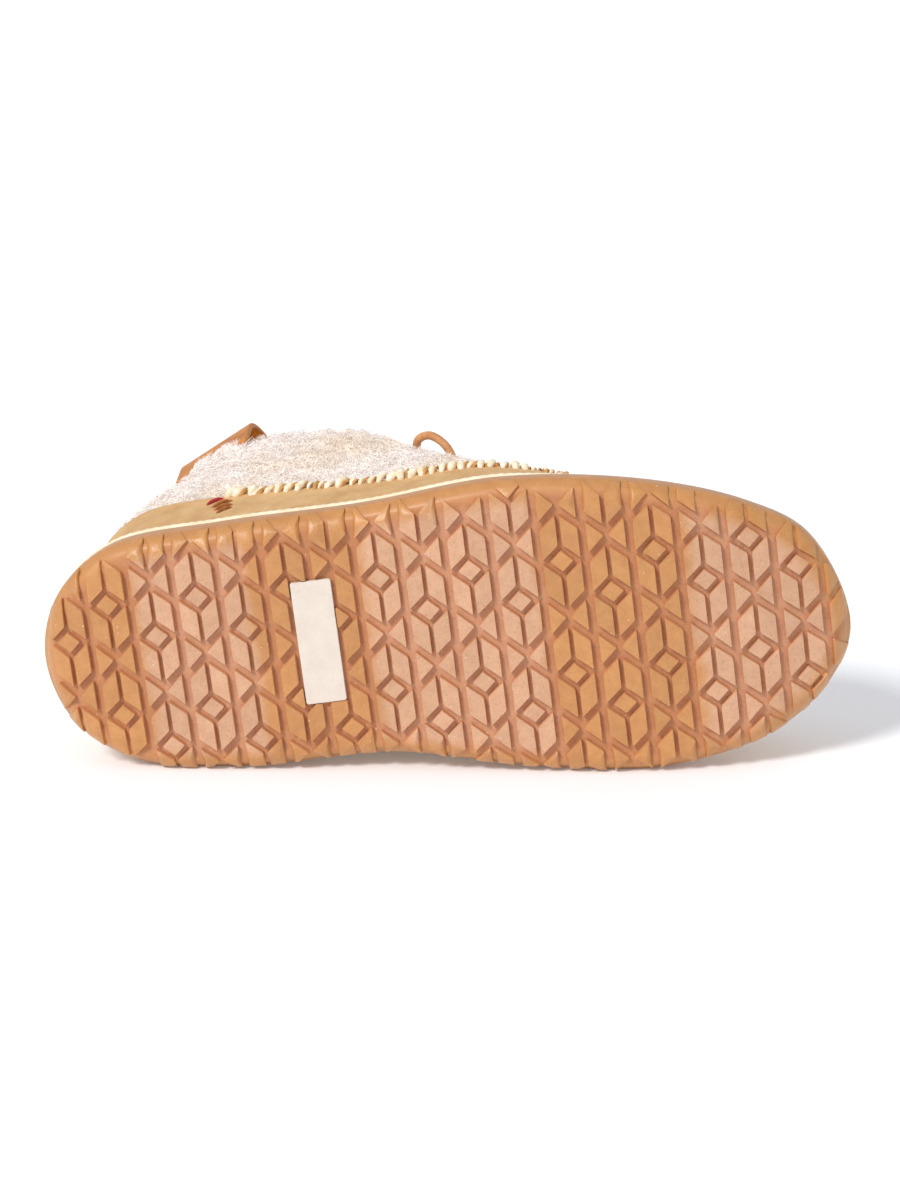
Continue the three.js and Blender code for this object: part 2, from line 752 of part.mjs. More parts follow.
const labelPlate = pieceOf(
  "label_plate",
  new THREE.BoxGeometry(LABEL.width, LABEL.length, LABEL.thickness),
  "#f5e6d0",
  0.6,
);
const labelHeight = treadHeight(LABEL.x) + LUG_HEIGHT - FIT_GAP - LABEL.thickness / 2;
labelPlate.position.set(LABEL.x, LABEL.y, labelHeight);
labelPlate.rotation.y = -labelSlope();

const tabPlace = tabFrame();
const pullTab = pieceOf("pull_tab", tabGeometry(wallUnderTab(tabPlace)), "#b5702f", 0.6);
pullTab.applyMatrix4(tabPlace);

const outsole = pieceOf("outsole", outsoleGeometry(), "#c98a52", 0.5);
const upper = pieceOf("upper", upperGeometry(), "#efe6da", 0.95);
const body = [
  outsole,
  labelPlate,
  pieceOf("binding", bindingGeometry(), "#f4e6c8", 0.7),
  pieceOf("insole", insoleGeometry(), "#e9dfcf", 0.95),
  upper,
  pieceOf("suede_rand", randGeometry(), "#d9b883", 0.9),
  pullTab,
];

const knot = pieceOf("lace_knot", knotGeometry(), "#b97a48", 0.6);
knot.position.set(KNOT.x, KNOT.y, KNOT.z);
const lace = Object.entries(LACE_ROUTES).map(([name, route]) =>
  pieceOf(name, laceGeometry(route), "#b97a48", 0.6),
);

const shoe = new THREE.Group();
shoe.add(...body, knot, ...lace);
layDown(shoe, body, [outsole, upper]);

const slipperBoot = new THREE.Group();
slipperBoot.add(shoe);

export default slipperBoot;
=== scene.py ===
# Slipper boot for the right foot, lying on its inner side: the looks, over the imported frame.
import json
import math

import bmesh
import bpy
import numpy as np
from mathutils import Euler, Matrix, Vector, noise
from mathutils.bvhtree import BVHTree
from mathutils.kdtree import KDTree


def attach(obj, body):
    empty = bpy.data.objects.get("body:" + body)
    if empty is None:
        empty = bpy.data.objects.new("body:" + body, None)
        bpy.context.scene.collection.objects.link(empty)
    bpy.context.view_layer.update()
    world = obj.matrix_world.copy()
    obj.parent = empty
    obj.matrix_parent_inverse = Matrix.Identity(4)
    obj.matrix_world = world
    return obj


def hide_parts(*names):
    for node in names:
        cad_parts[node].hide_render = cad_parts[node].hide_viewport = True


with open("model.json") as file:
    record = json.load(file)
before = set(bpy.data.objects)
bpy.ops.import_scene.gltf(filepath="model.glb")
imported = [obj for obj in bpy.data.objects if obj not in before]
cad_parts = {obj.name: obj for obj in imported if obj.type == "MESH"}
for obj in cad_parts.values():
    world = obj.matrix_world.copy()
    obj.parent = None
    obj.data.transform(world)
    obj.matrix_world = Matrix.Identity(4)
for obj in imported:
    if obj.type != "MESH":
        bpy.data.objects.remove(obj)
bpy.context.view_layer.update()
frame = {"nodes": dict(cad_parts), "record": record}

# Outsole: one moulding of gum rubber, cemented under the upper. Its tread of lozenges, diamonds and triangles
# runs out into a rounded edge. Bands of lug tops are ground to a pale matt skin between glossy amber gum.
SOLE_LENGTH = 268.5
BALL_WIDTH = 100
SOLE_EDGE = np.array([
    (1, 0.16), (0.969, 0.337), (0.894, 0.482), (0.76, 0.55), (0.615, 0.511), (0.421, 0.411),
    (0.231, 0.408), (0.1, 0.353), (0.026, 0.21), (0, -0.015), (0.026, -0.23), (0.1, -0.387),
    (0.245, -0.43), (0.417, -0.446), (0.596, -0.488), (0.76, -0.433), (0.886, -0.312), (0.961, -0.162),
]) * (SOLE_LENGTH, BALL_WIDTH)
HEEL_THICKNESS, TOE_THICKNESS = 16, 13
HEEL_FLAT, BALL_FLAT = (45, 80), (138, 172)
HEEL_BEVEL, ARCH_RISE, TOE_SPRING = 5, 1.8, 16
EDGE_RADIUS = 7
LUG_HEIGHT, EDGE_GROOVE, LUG_SMALLEST_AREA = 2.2, 1.0, 16
COLUMN_PITCH, COLUMN_GROOVE, CENTRE_GROOVE = 15.15, 2.7, 1.4
FIRST_COLUMN, COLUMN_COUNT = 10.8, 18
PATTERN_LENGTH, PATTERN_START, PATTERN_STAGGER, PATTERN_REPEATS = 38.4, -21, 12.1, 2
LUG_SLOPE = 0.86
DIAMOND_ACROSS, DIAMOND_ALONG = 3.8, 3.5
LOZENGE_NEAR, LOZENGE_FAR = 6, 16
TRIANGLE_TIP, TRIANGLE_HALF_BASE = 0.7, 5.2
LABEL_PLACE, LABEL_SIZE, LABEL_GAP = (94.1, -1.4), (13.6, 42), 0.3
SOLE_AROUND, EDGE_POINTS, PATTERN_EDGE_POINTS = 260, 2400, 180
GROOVE_FADE_START, GROOVE_FADE = 0.5, 6
SPINE_ENDS, SPINE_RUN, SPINE_DRIFT = (42, 225), 45, 4
FLOOR_SHARES = (1, 0.8, 0.6, 0.4, 0.25, 0.12, 0.05)
EDGE_INSETS = (9, 7.5, 6.2, 5, 3.9, 2.9, 2, 1.3, 0.8, 0.4)
# share of the side's height, inset
SIDE_ROWS = ((0.15, 0.25), (0.35, 0.2), (0.62, 0.3), (0.86, 0.5), (0.96, 0.8), (1, 1.4))
LUG_CORNER_CUT = 0.04
# scales of the rings that close a lug's top, at the sole's edge and elsewhere
EDGE_LUG_RINGS, LUG_RINGS = (0.86, 0.72, 0.56, 0.38, 0.2), (0.55,)
LEAST_HEIGHT_M = 0.0002
GROUND_BANDS = ((36, 73), (112, 169), (219, 264))
# The shoe's own axes come from its two tread mounts, and HEEL_MOUNT is where the heel's one lies in them:
# x runs from heel to toe, y to the inner side and z up through the shoe, in millimetres.
HEEL_MOUNT = (59.7, -13.117, 0.0)
mounts = {mount["name"]: mount for mount in frame["record"]["mounts"]}
heel_place = np.array(mounts["heel_tread"]["pos_m"])
shoe_x = np.array(mounts["forefoot_tread"]["pos_m"]) - heel_place
shoe_x /= np.linalg.norm(shoe_x)
shoe_z = -np.array(mounts["heel_tread"]["axis"])
shoe_y = np.cross(shoe_z, shoe_x)
shoe_axes = np.array([shoe_x, shoe_y, shoe_z])
shoe_origin = heel_place - np.array(HEEL_MOUNT) @ shoe_axes / 1000


def to_world(points):
    return shoe_origin + np.asarray(points) @ shoe_axes / 1000


def through(points, share, closed):
    """Points on a centripetal spline through the given ones, at shares of the way along it."""
    points = np.asarray(points, float)
    if closed:
        count = len(points)
        place = (share % 1.0) * count
        start = np.floor(place).astype(int)
        corners = [points[(start + k) % count] for k in (-1, 0, 1, 2)]
    else:
        count = len(points) - 1
        ends = np.vstack([2 * points[0] - points[1], points, 2 * points[-1] - points[-2]])
        place = share * count
        start = np.minimum(np.floor(place).astype(int), count - 1)
        corners = [ends[start + k] for k in range(4)]
    gap0, gap1, gap2 = [
        np.sqrt(np.linalg.norm(b - a, axis=1, keepdims=True)) for a, b in zip(corners, corners[1:])
    ]
    p0, p1, p2, p3 = corners
    leave = ((p1 - p0) / gap0 - (p2 - p0) / (gap0 + gap1) + (p2 - p1) / gap1) * gap1
    reach = ((p2 - p1) / gap1 - (p3 - p1) / (gap1 + gap2) + (p3 - p2) / gap2) * gap1
    w = (place - start)[:, None]
    bend = 3 * (p2 - p1) - 2 * leave - reach
    twist = 2 * (p1 - p2) + leave + reach
    return p1 + leave * w + bend * w**2 + twist * w**3


def unit(vectors):
    return vectors / np.linalg.norm(vectors, axis=-1, keepdims=True)


def sole_edge(u, inset):
    """Plan points inside the sole's edge and the ways out, at shares of the way round from the toe."""
    step = 1e-4
    along = through(SOLE_EDGE, u + step, True) - through(SOLE_EDGE, u - step, True)
    out = unit(np.column_stack([along[:, 1], -along[:, 0]]))
    return through(SOLE_EDGE, u, True) - inset * out, out


def toe_spring(x):
    return TOE_SPRING * np.clip((x - BALL_FLAT[1]) / (SOLE_LENGTH - BALL_FLAT[1]), 0, None) ** 2


def tread_height(x):
    bevel = np.clip(1 - x / HEEL_FLAT[0], 0, None) ** 2
    arch = np.sin(np.pi * np.clip((x - HEEL_FLAT[1]) / (BALL_FLAT[0] - HEEL_FLAT[1]), 0, 1)) ** 2
    return HEEL_BEVEL * bevel + ARCH_RISE * arch + toe_spring(x)


def sole_top(x):
    return toe_spring(x) + HEEL_THICKNESS + (TOE_THICKNESS - HEEL_THICKNESS) * x / SOLE_LENGTH


def edge_rise(inside):
    return EDGE_RADIUS - np.sqrt(EDGE_RADIUS**2 - np.clip(EDGE_RADIUS - inside, 0, EDGE_RADIUS) ** 2)


def soft(x):
    x = np.clip(x, 0, 1)
    return x * x * (3 - 2 * x)


def groove_depth(inside):
    """Depth of the grooves under the lug tops, which fades out towards the sole's edge."""
    return EDGE_GROOVE + (LUG_HEIGHT - EDGE_GROOVE) * soft((inside - GROOVE_FADE_START) / GROOVE_FADE)


def nearest_in(points):
    tree = KDTree(len(points))
    for i, point in enumerate(points):
        tree.insert(point, i)
    tree.balance()
    return tree


edge_plan, edge_out = sole_edge(np.arange(EDGE_POINTS) / EDGE_POINTS, 0)
edge_tree = nearest_in([(x, y, 0) for x, y in edge_plan])


def under_edge(plan, share, lift):
    """Points a share of the groove's depth under the rounded tread, and how far inside its edge."""
    found = [edge_tree.find((x, y, 0)) for x, y in plan]
    inside = np.array([hit[2] for hit in found])
    depth = groove_depth(inside) * share
    lean = np.clip(1 - inside / EDGE_RADIUS, 0, 1)
    deep_plan = plan - edge_out[[hit[1] for hit in found]] * (depth * lean)[:, None]
    height = tread_height(plan[:, 0]) + edge_rise(inside) + depth * np.sqrt(1 - lean**2) + lift
    return np.column_stack([deep_plan, height]), inside


def spine_of(plan):
    """Places on the sole's middle line, where the rows of a closed surface meet."""
    x = plan[:, 0]
    return np.column_stack([np.clip(x, *SPINE_ENDS), np.clip(x / SPINE_RUN, 0, SPINE_DRIFT)])


def grid_faces(rows, columns, wrap_rows, wrap_columns):
    """Quads of a grid whose rows climb and whose columns run anticlockwise, facing out."""
    r, c = np.meshgrid(
        np.arange(rows if wrap_rows else rows - 1),
        np.arange(columns if wrap_columns else columns - 1),
        indexing="ij",
    )
    above, after = (r + 1) % rows, (c + 1) % columns
    corners = [r * columns + c, r * columns + after, above * columns + after, above * columns + c]
    return np.stack(corners, -1).reshape(-1, 4)


def make_piece(name, points, faces, material, values, outward=False):
    """A smooth mesh piece from shoe points, with float values on its points, that rides with the shoe."""
    places = to_world(points)
    places[:, 2] = np.maximum(places[:, 2], LEAST_HEIGHT_M)
    mesh = bpy.data.meshes.new(name)
    mesh.from_pydata(places.tolist(), [], [list(face) for face in faces])
    if outward:
        whole = bmesh.new()
        whole.from_mesh(mesh)
        bmesh.ops.recalc_face_normals(whole, faces=whole.faces)
        whole.to_mesh(mesh)
        whole.free()
    mesh.polygons.foreach_set("use_smooth", np.ones(len(mesh.polygons), bool))
    for key, column in values.items():
        mesh.attributes.new(key, "FLOAT", "POINT").data.foreach_set("value", np.asarray(column, np.float32))
    mesh.materials.append(material)
    piece = bpy.data.objects.new(name, mesh)
    bpy.context.scene.collection.objects.link(piece)
    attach(piece, "root")
    return piece


def linear(red, green, blue):
    """A colour seen on screen, in steps of 255, as the light that it stands for."""
    light = [((c / 255 + 0.055) / 1.055) ** 2.4 for c in (red, green, blue)]
    return (*light, 1.0)


def feed(tree, made, inputs):
    """Gives a shader node's inputs their values, or links them to the outputs that feed them."""
    for name, value in inputs.items():
        if isinstance(value, bpy.types.NodeSocket):
            tree.links.new(value, made.inputs[name])
        else:
            made.inputs[name].default_value = value


def node(tree, kind, inputs, **settings):
    made = tree.nodes.new(kind)
    for name, value in settings.items():
        setattr(made, name, value)
    feed(tree, made, inputs)
    return made


def noise_at(tree, place, scale, detail, roughness=0.5):
    inputs = {"Vector": place, "Scale": scale, "Detail": detail, "Roughness": roughness}
    return node(tree, "ShaderNodeTexNoise", inputs).outputs[0]


def scaled(tree, value, ends, new_ends=(0.0, 1.0)):
    """A value carried from one range to another and held at its ends."""
    inputs = {0: value, 1: ends[0], 2: ends[1], 3: new_ends[0], 4: new_ends[1]}
    return node(tree, "ShaderNodeMapRange", inputs).outputs[0]


def worked_out(tree, operation, first, second, clamp=False):
    made = node(tree, "ShaderNodeMath", {0: first, 1: second}, operation=operation, use_clamp=clamp)
    return made.outputs[0]


def bumped(tree, strength, distance, height, under=None):
    """The normal of a surface with relief, over finer relief where that is given."""
    bump = node(tree, "ShaderNodeBump", {"Strength": strength, "Distance": distance, "Height": height})
    if under is not None:
        tree.links.new(under, bump.inputs["Normal"])
    return bump.outputs[0]


def mixed(tree, factor, first, second):
    mix = node(tree, "ShaderNodeMix", {0: factor, 6: first, 7: second}, data_type="RGBA")
    return mix.outputs[2]


def ramped(tree, value, *stops):
    """A value run through straight slopes between (place, level) stops."""
    ramp = node(tree, "ShaderNodeValToRGB", {0: value})
    elements = ramp.color_ramp.elements
    while len(elements) < len(stops):
        elements.new(0.5)
    for element, (place, level) in zip(elements, stops):
        element.position = place
    for element, (place, level) in zip(elements, stops):
        element.color = (level, level, level, 1)
    return ramp.outputs[0]


def new_material(name):
    material = bpy.data.materials.new(name)
    material.use_nodes = True
    tree = material.node_tree
    shader = tree.nodes["Principled BSDF"]
    return material, tree, shader


def attribute(tree, name):
    return node(tree, "ShaderNodeAttribute", {}, attribute_name=name).outputs["Fac"]


def signed_area(outline):
    x, y = np.asarray(outline).T
    return 0.5 * np.sum(x * np.roll(y, -1) - np.roll(x, -1) * y)


def keep_left(outline, a, b):
    """The part of an outline on the left of the line from a to b."""
    kept = []
    sides = (b[0] - a[0]) * (outline[:, 1] - a[1]) - (b[1] - a[1]) * (outline[:, 0] - a[0])
    for p, q, s, r in zip(outline, np.roll(outline, -1, 0), sides, np.roll(sides, -1)):
        if s >= 0:
            kept.append(p)
        if s * r < 0:
            kept.append(p + (q - p) * s / (s - r))
    return np.array(kept).reshape(-1, 2)


def pattern_lugs():
    half = (COLUMN_PITCH - COLUMN_GROOVE) / 2
    centre = CENTRE_GROOVE / 2
    middle = PATTERN_LENGTH / 2
    lugs = [[(DIAMOND_ACROSS, 0), (0, DIAMOND_ALONG), (-DIAMOND_ACROSS, 0), (0, -DIAMOND_ALONG)]]
    lozenge = [
        (centre, LOZENGE_NEAR - LUG_SLOPE * centre),
        (half, LOZENGE_NEAR - LUG_SLOPE * half),
        (half, LOZENGE_FAR - LUG_SLOPE * half),
        (centre, LOZENGE_FAR - LUG_SLOPE * centre),
    ]
    triangle = [
        (TRIANGLE_TIP, middle),
        (half, middle - TRIANGLE_HALF_BASE),
        (half, middle + TRIANGLE_HALF_BASE),
    ]
    for side in (1, -1):
        lugs += [[(side * x, end * y) for x, y in lozenge] for end in (1, -1)]
        lugs.append([(side * x, y) for x, y in triangle])
    return [np.array(lug if signed_area(lug) > 0 else lug[::-1]) for lug in lugs]


def clear_of_label(outline):
    """The largest part of a lug's outline on one side of the label's pocket."""
    reach = np.array(LABEL_SIZE) / 2 + LABEL_GAP
    low, high = np.array(LABEL_PLACE) - reach, np.array(LABEL_PLACE) + reach
    if np.any(outline.max(0) < low) or np.any(outline.min(0) > high):
        return outline
    corners = [low, (high[0], low[1]), high, (low[0], high[1])]
    parts = [keep_left(outline, b, a) for a, b in zip(corners, corners[1:] + corners[:1])]
    return max(parts, key=lambda part: signed_area(part) if len(part) > 2 else 0)


def tread_outlines():
    sole = sole_edge(np.arange(PATTERN_EDGE_POINTS) / PATTERN_EDGE_POINTS, 0)[0]
    lugs = []
    for column in range(COLUMN_COUNT):
        x = FIRST_COLUMN + column * COLUMN_PITCH
        start = PATTERN_START + (PATTERN_STAGGER if column % 2 == 0 else 0)
        for repeat in range(-PATTERN_REPEATS, PATTERN_REPEATS + 1):
            for lug in pattern_lugs():
                corners = lug + (x, start + repeat * PATTERN_LENGTH)
                outline = sole
                for a, b in zip(corners, np.roll(corners, -1, 0)):
                    outline = keep_left(outline, a, b)
                if len(outline) > 2:
                    outline = clear_of_label(outline)
                if len(outline) > 2 and signed_area(outline) > LUG_SMALLEST_AREA:
                    lugs.append((outline, len(outline) > len(lug)))
    return lugs


def rounded(outline, cut):
    """An outline with its corners cut twice."""
    for _ in range(2):
        after = np.roll(outline, -1, 0)
        leave, reach = outline + (after - outline) * cut, after + (outline - after) * cut
        outline = np.stack([leave, reach], 1).reshape(-1, 2)
    return outline


def outsole_mesh():
    """The skin of the grooves, edge and side, closed at the sole's middle line, with the lugs set into it."""
    u = np.arange(SOLE_AROUND) / SOLE_AROUND
    rows = []
    groove_edge = sole_edge(u, EDGE_INSETS[0])[0]
    spine = spine_of(groove_edge)
    for share in FLOOR_SHARES:
        plan = groove_edge + (spine - groove_edge) * share
        rows.append(np.column_stack([plan, tread_height(plan[:, 0]) + LUG_HEIGHT]))
    inside = [np.full(SOLE_AROUND, EDGE_RADIUS + EDGE_INSETS[0])] * len(rows)
    for inset in EDGE_INSETS:
        row, row_inside = under_edge(sole_edge(u, inset)[0], 1, 0)
        rows.append(row)
        inside.append(row_inside)
    lower = rows[-1][:, 2]
    for share, inset in SIDE_ROWS:
        plan = sole_edge(u, inset)[0]
        rows.append(np.column_stack([plan, lower + (sole_top(plan[:, 0]) - lower) * share]))
    rows.append(np.column_stack([spine, sole_top(spine[:, 0])]))
    inside += [np.zeros(SOLE_AROUND)] * (len(rows) - len(inside))
    faces = grid_faces(len(rows), SOLE_AROUND, False, True).tolist()
    # points, how far inside the edge, on a lug's top, on its wall, tint
    bare = np.zeros(SOLE_AROUND)
    rings = [(row, near, bare, bare, bare + 0.5) for row, near in zip(rows, inside)]
    first = len(rows) * SOLE_AROUND
    chance = np.random.default_rng(11)
    for outline, at_edge in tread_outlines():
        outline = rounded(outline, LUG_CORNER_CUT)
        middle = outline.mean(0)
        tint = chance.random()
        # scale of the outline, share of the groove's depth, lift, on top, on the wall
        steps = (
            (0.86, 1, 1.0, 0, 1) if at_edge else (1.05, 1, 0.4, 0, 1),
            (1.0 if at_edge else 1.035, 1, -0.12, 0, 1),
            (1.0, 0.1, 0, 0.35, 0.6),
            (0.97, 0, 0.02, 1, 0),
            *[(scale, 0, 0, 1, 0) for scale in (EDGE_LUG_RINGS if at_edge else LUG_RINGS)],
            (0, 0, 0, 1, 0),
        )
        index = np.arange(len(outline))
        after = np.roll(index, -1)
        even = np.ones(len(outline))
        for number, (scale, depth_share, lift, top, side) in enumerate(steps):
            ring, near = under_edge(middle + (outline - middle) * scale, depth_share, lift)
            rings.append((ring, near, top * even, side * even, tint * even))
            if number > 0:
                low = first - len(ring)
                faces += np.column_stack([low + after, low + index, first + index, first + after]).tolist()
            first += len(ring)
    points, inside, tops, walls, tints = [np.concatenate(column) for column in zip(*rings)]
    values = {"tread_x": points[:, 0], "inside": inside, "lug_top": tops, "lug_wall": walls, "tint": tints}
    return points, faces, values


surface = bpy.data.node_groups.new("worked_surface", "ShaderNodeTree")
for socket_name, socket_kind in (
    ("Light", "Color"), ("Dark", "Color"), ("Patch Scale", "Float"), ("Grain Scale", "Float"),
    ("Grain Depth", "Float"), ("Smooth", "Float"), ("Rough", "Float"),
):
    surface.interface.new_socket(socket_name, in_out="INPUT", socket_type="NodeSocket" + socket_kind)
for socket_name, socket_kind in (("Color", "Color"), ("Roughness", "Float"), ("Normal", "Vector")):
    surface.interface.new_socket(socket_name, in_out="OUTPUT", socket_type="NodeSocket" + socket_kind)
given = surface.nodes.new("NodeGroupInput").outputs
here = surface.nodes.new("ShaderNodeTexCoord").outputs["Object"]
patches = noise_at(surface, here, given["Patch Scale"], detail=4, roughness=0.6)
grain = noise_at(surface, here, given["Grain Scale"], detail=3, roughness=0.7)
speckle = worked_out(surface, "MULTIPLY", grain, scaled(surface, patches, (0.32, 0.68)))
speckle = worked_out(surface, "MULTIPLY", speckle, 1.7, clamp=True)
node(surface, "NodeGroupOutput", {
    "Color": mixed(surface, speckle, given["Light"], given["Dark"]),
    "Roughness": scaled(surface, grain, (0.3, 0.7), (given["Smooth"], given["Rough"])),
    "Normal": bumped(surface, 1.0, given["Grain Depth"], grain),
})


def worked_material(name, light, dark, patch_scale, grain_scale, grain_depth, smooth, rough, plain=()):
    """A material with two mottled tones and a fine grain, and with plain values that hold all over it."""
    material, tree, shader = new_material(name)
    inputs = {
        "Light": linear(*light), "Dark": linear(*dark), "Patch Scale": patch_scale,
        "Grain Scale": grain_scale, "Grain Depth": grain_depth, "Smooth": smooth, "Rough": rough,
    }
    worked = node(tree, "ShaderNodeGroup", inputs, node_tree=surface).outputs
    varied = {"Base Color": worked["Color"], "Roughness": worked["Roughness"], "Normal": worked["Normal"]}
    feed(tree, shader, {**varied, **dict(plain)})
    return material


gum, tree, shader = new_material("gum_rubber")
here = node(tree, "ShaderNodeTexCoord", {}).outputs["Object"]
wander = noise_at(tree, here, scale=90, detail=3)
mottle = noise_at(tree, here, scale=260, detail=5, roughness=0.65)
grit = noise_at(tree, here, scale=1500, detail=3, roughness=0.7)
inside = attribute(tree, "inside")
lug_top = attribute(tree, "lug_top")
along = worked_out(tree, "ADD", attribute(tree, "tread_x"), scaled(tree, wander, (0, 1), (-4, 4)))
along = worked_out(tree, "DIVIDE", along, SOLE_LENGTH)
BAND_BLUR = 0.008
stops = [
    (edge / SOLE_LENGTH + side * BAND_BLUR, level)
    for low, high in GROUND_BANDS
    for edge, side, level in ((low, -1, 0), (low, 1, 1), (high, -1, 1), (high, 1, 0))
]
ground = worked_out(tree, "MULTIPLY", ramped(tree, along, *stops), scaled(tree, inside, (4, 8.5)))
matt = worked_out(tree, "MULTIPLY", ground, lug_top)
off_edge = scaled(tree, inside, (0.4, 3))
in_groove = worked_out(tree, "SUBTRACT", 1.0, lug_top, clamp=True)
in_groove = worked_out(tree, "MULTIPLY", in_groove, off_edge)
on_wall = worked_out(tree, "MULTIPLY", attribute(tree, "lug_wall"), off_edge)
amber = mixed(tree, mottle, linear(211, 155, 94), linear(176, 115, 61))
amber_floor = mixed(tree, mottle, linear(209, 147, 100), linear(178, 117, 75))
ground_floor = mixed(tree, mottle, linear(217, 162, 125), linear(187, 131, 96))
ground_top = mixed(tree, mottle, linear(221, 178, 146), linear(190, 143, 111))
colour = mixed(tree, in_groove, amber, mixed(tree, ground, amber_floor, ground_floor))
colour = mixed(tree, matt, colour, ground_top)
colour = mixed(tree, on_wall, colour, linear(204, 143, 99))
soil = ramped(tree, grit, (0.55, 0), (0.71, 0.55))
colour = mixed(tree, soil, colour, linear(168, 110, 70))
worn_edge = scaled(tree, inside, (0.1, 0.5), (0.0, 0.35))
worn_edge = scaled(tree, inside, (2, 6), (worn_edge, 0.0))
colour = mixed(tree, worn_edge, colour, linear(199, 141, 78))
tone = mixed(tree, attribute(tree, "tint"), (0.93, 0.92, 0.9, 1), (1.05, 1.04, 1.03, 1))
toned = node(tree, "ShaderNodeMix", {0: 1.0, 6: colour, 7: tone}, data_type="RGBA", blend_type="MULTIPLY")
specks = node(tree, "ShaderNodeTexVoronoi", {"Vector": here, "Scale": 330, "Randomness": 1.0})
dust = ramped(tree, specks.outputs["Distance"], (0.0, 1), (0.05, 1), (0.08, 0))
dust = worked_out(tree, "MULTIPLY", dust, ramped(tree, wander, (0.5, 0), (0.6, 0.85)))
colour = mixed(tree, dust, toned.outputs[2], linear(250, 232, 212))
gloss = scaled(tree, matt, (0, 1), (0.36, 0.8))
gloss = scaled(tree, in_groove, (0, 1), (gloss, 0.7))
feed(tree, shader, {
    "Base Color": colour,
    "Roughness": gloss,
    "Normal": bumped(tree, 0.5, 0.0005, mottle, under=bumped(tree, 0.8, 0.0002, grit)),
    "Coat Weight": scaled(tree, matt, (0, 1), (0.25, 0.0)),
    "Coat Roughness": 0.3,
    "Subsurface Weight": 0.12,
    "Subsurface Radius": (0.004, 0.0016, 0.0005),
    "Subsurface Scale": 0.6,
})
points, faces, values = outsole_mesh()
outsole = make_piece("gum_outsole", points, faces, gum, values)
outsole.data.set_sharp_from_angle(angle=math.radians(38))
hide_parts("outsole")

# Label plate: a bare plate of pale rubber, let into the tread at the waist and cemented there.
# Its edges are softened by the mould.
label_material = worked_material(
    "label_rubber", (226, 215, 203), (214, 201, 187), 120, 900, 0.00006, 0.42, 0.6
)
label = frame["nodes"]["label_plate"]
label.data.materials.clear()
label.data.materials.append(label_material)
weld = label.modifiers.new("weld", "WELD")
weld.merge_threshold = 0.00002
edge = label.modifiers.new("edge", "BEVEL")
edge.width, edge.segments = 0.0007, 4

# Upper: a last-shaped shell of curly fleece with a fleece lining, stitched to the sole under the rand.
# Its pile is nubs of wool with loose curls on them, over the outside, the collar and the lining.
FEATHER_INSET, FIT_GAP, WALL = 4.2, 0.3, 4.5
COLLAR_BACK_HEIGHT, COLLAR_FRONT_HEIGHT = 126, 121
COLLAR_X, COLLAR_HALF_LENGTH, COLLAR_HALF_WIDTH, COLLAR_SQUARENESS, COLLAR_ROLL = 80, 44.5, 42, 2.7, 1.6
# turn from toe to heel, rise, bulge, reach, drop, flare, collar angle
WALL_LINES = (
    (0, 35, -1.5, 0.31, 51, 0, 0),
    (0.18, 30.5, -3.5, 0.21, 50, -3, 10),
    (0.34, 30.5, -5.5, 0.26, 48, -2, 26),
    (0.5, 40.5, -2.5, 0.4, 43, 5.5, 54),
    (0.66, 37.5, 1, 0.1, 36, 5, 84),
    (0.8, 42, 1, 0, 33, 5.5, 116),
    (0.9, 38, 1, 0, 34, 1, 157),
    (1, 40, 2.3, 0, 36, 1, 180),
)
RAND_TOP = ((0, 44), (0.35, 46), (0.7, 48), (1, 55))
BINDING_HEIGHT, BINDING_DEPTH = 3.8, 3.5
UPPER_AROUND, UPPER_HIDDEN_ROWS, UPPER_ROWS, CROWN_ROWS, LINING_ROWS = 330, 4, 62, 7, 44
NUB_SPACING, NUB_HEIGHT, CURL_SPACING, CURL_HEIGHT, PILE_SINK = 6.4, 2.1, 2.6, 0.7, 1.5
NUB_REACH, FLEECE_SIDES, FLEECE_HEIGHT, GIRTH_ROW = 0.78, 2.1, 95, UPPER_HIDDEN_ROWS + 20
FLEECE_START, PILE_FADE_ROWS, LINING_PILE = 0.96, 3, 0.75
LEVEL_ENDS = 0.08
PATCH_COARSE, PATCH_FINE, YELLOWED_FROM, YELLOWED_RISE = 26, 9, 95, 25
CURL_STEPS, CURL_SIZES, CURL_TURNS, CURL_RADII = 5, (0.6, 1.25), (3.5, 7.0), (0.6, 1.2)
CURL_HALF_WIDTHS, TAB_REACH_M = (0.12, 0.24), 0.007
# creases of the worn upper: share round, share up, half width round, half width up, depth
CREASES = (
    (0.04, 0.5, 0.07, 0.03, 1.4),
    (0.97, 0.57, 0.06, 0.03, 1.2),
    (0.71, 0.72, 0.03, 0.05, 1.3),
    (0.3, 0.7, 0.03, 0.05, 1.3),
    (0.52, 0.62, 0.06, 0.04, 1.2),
    (0.62, 0.8, 0.03, 0.04, 1.0),
)


def table_at(rows, at):
    """The later columns of a table as smooth functions of its first, level at both ends."""
    rows = np.asarray(rows, float)
    keys, values = rows[:, 0], rows[:, 1:]
    last = len(keys) - 1
    high = np.clip(np.searchsorted(keys, at, side="right"), 1, last)
    low = high - 1
    key0, key1 = keys[low], keys[high]
    before = np.where(low > 0, low - 1, high)
    after = np.where(high < last, high + 1, high)
    key_before = np.where(low > 0, keys[before], 2 * key0 - key1)
    key_after = np.where(high < last, keys[after], 2 * key1 - key0)
    w0 = ((key1 - key0) / 2 / (key0 - key_before))[:, None]
    w1 = ((key1 - key0) / 2 / (key_after - key1))[:, None]
    p = ((at - key0) / (key1 - key0))[:, None]
    return (
        w0 * (-(p**3) + 2 * p**2 - p) * values[before]
        + ((1 + w0) * p**3 - (1.5 + 2 * w0) * p**2 + (w0 - 0.5) * p + 1) * values[low]
        + ((-1 - w1) * p**3 + (1.5 + w1) * p**2 + 0.5 * p) * values[high]
        + w1 * (p**3 - p**2) * values[after]
    )


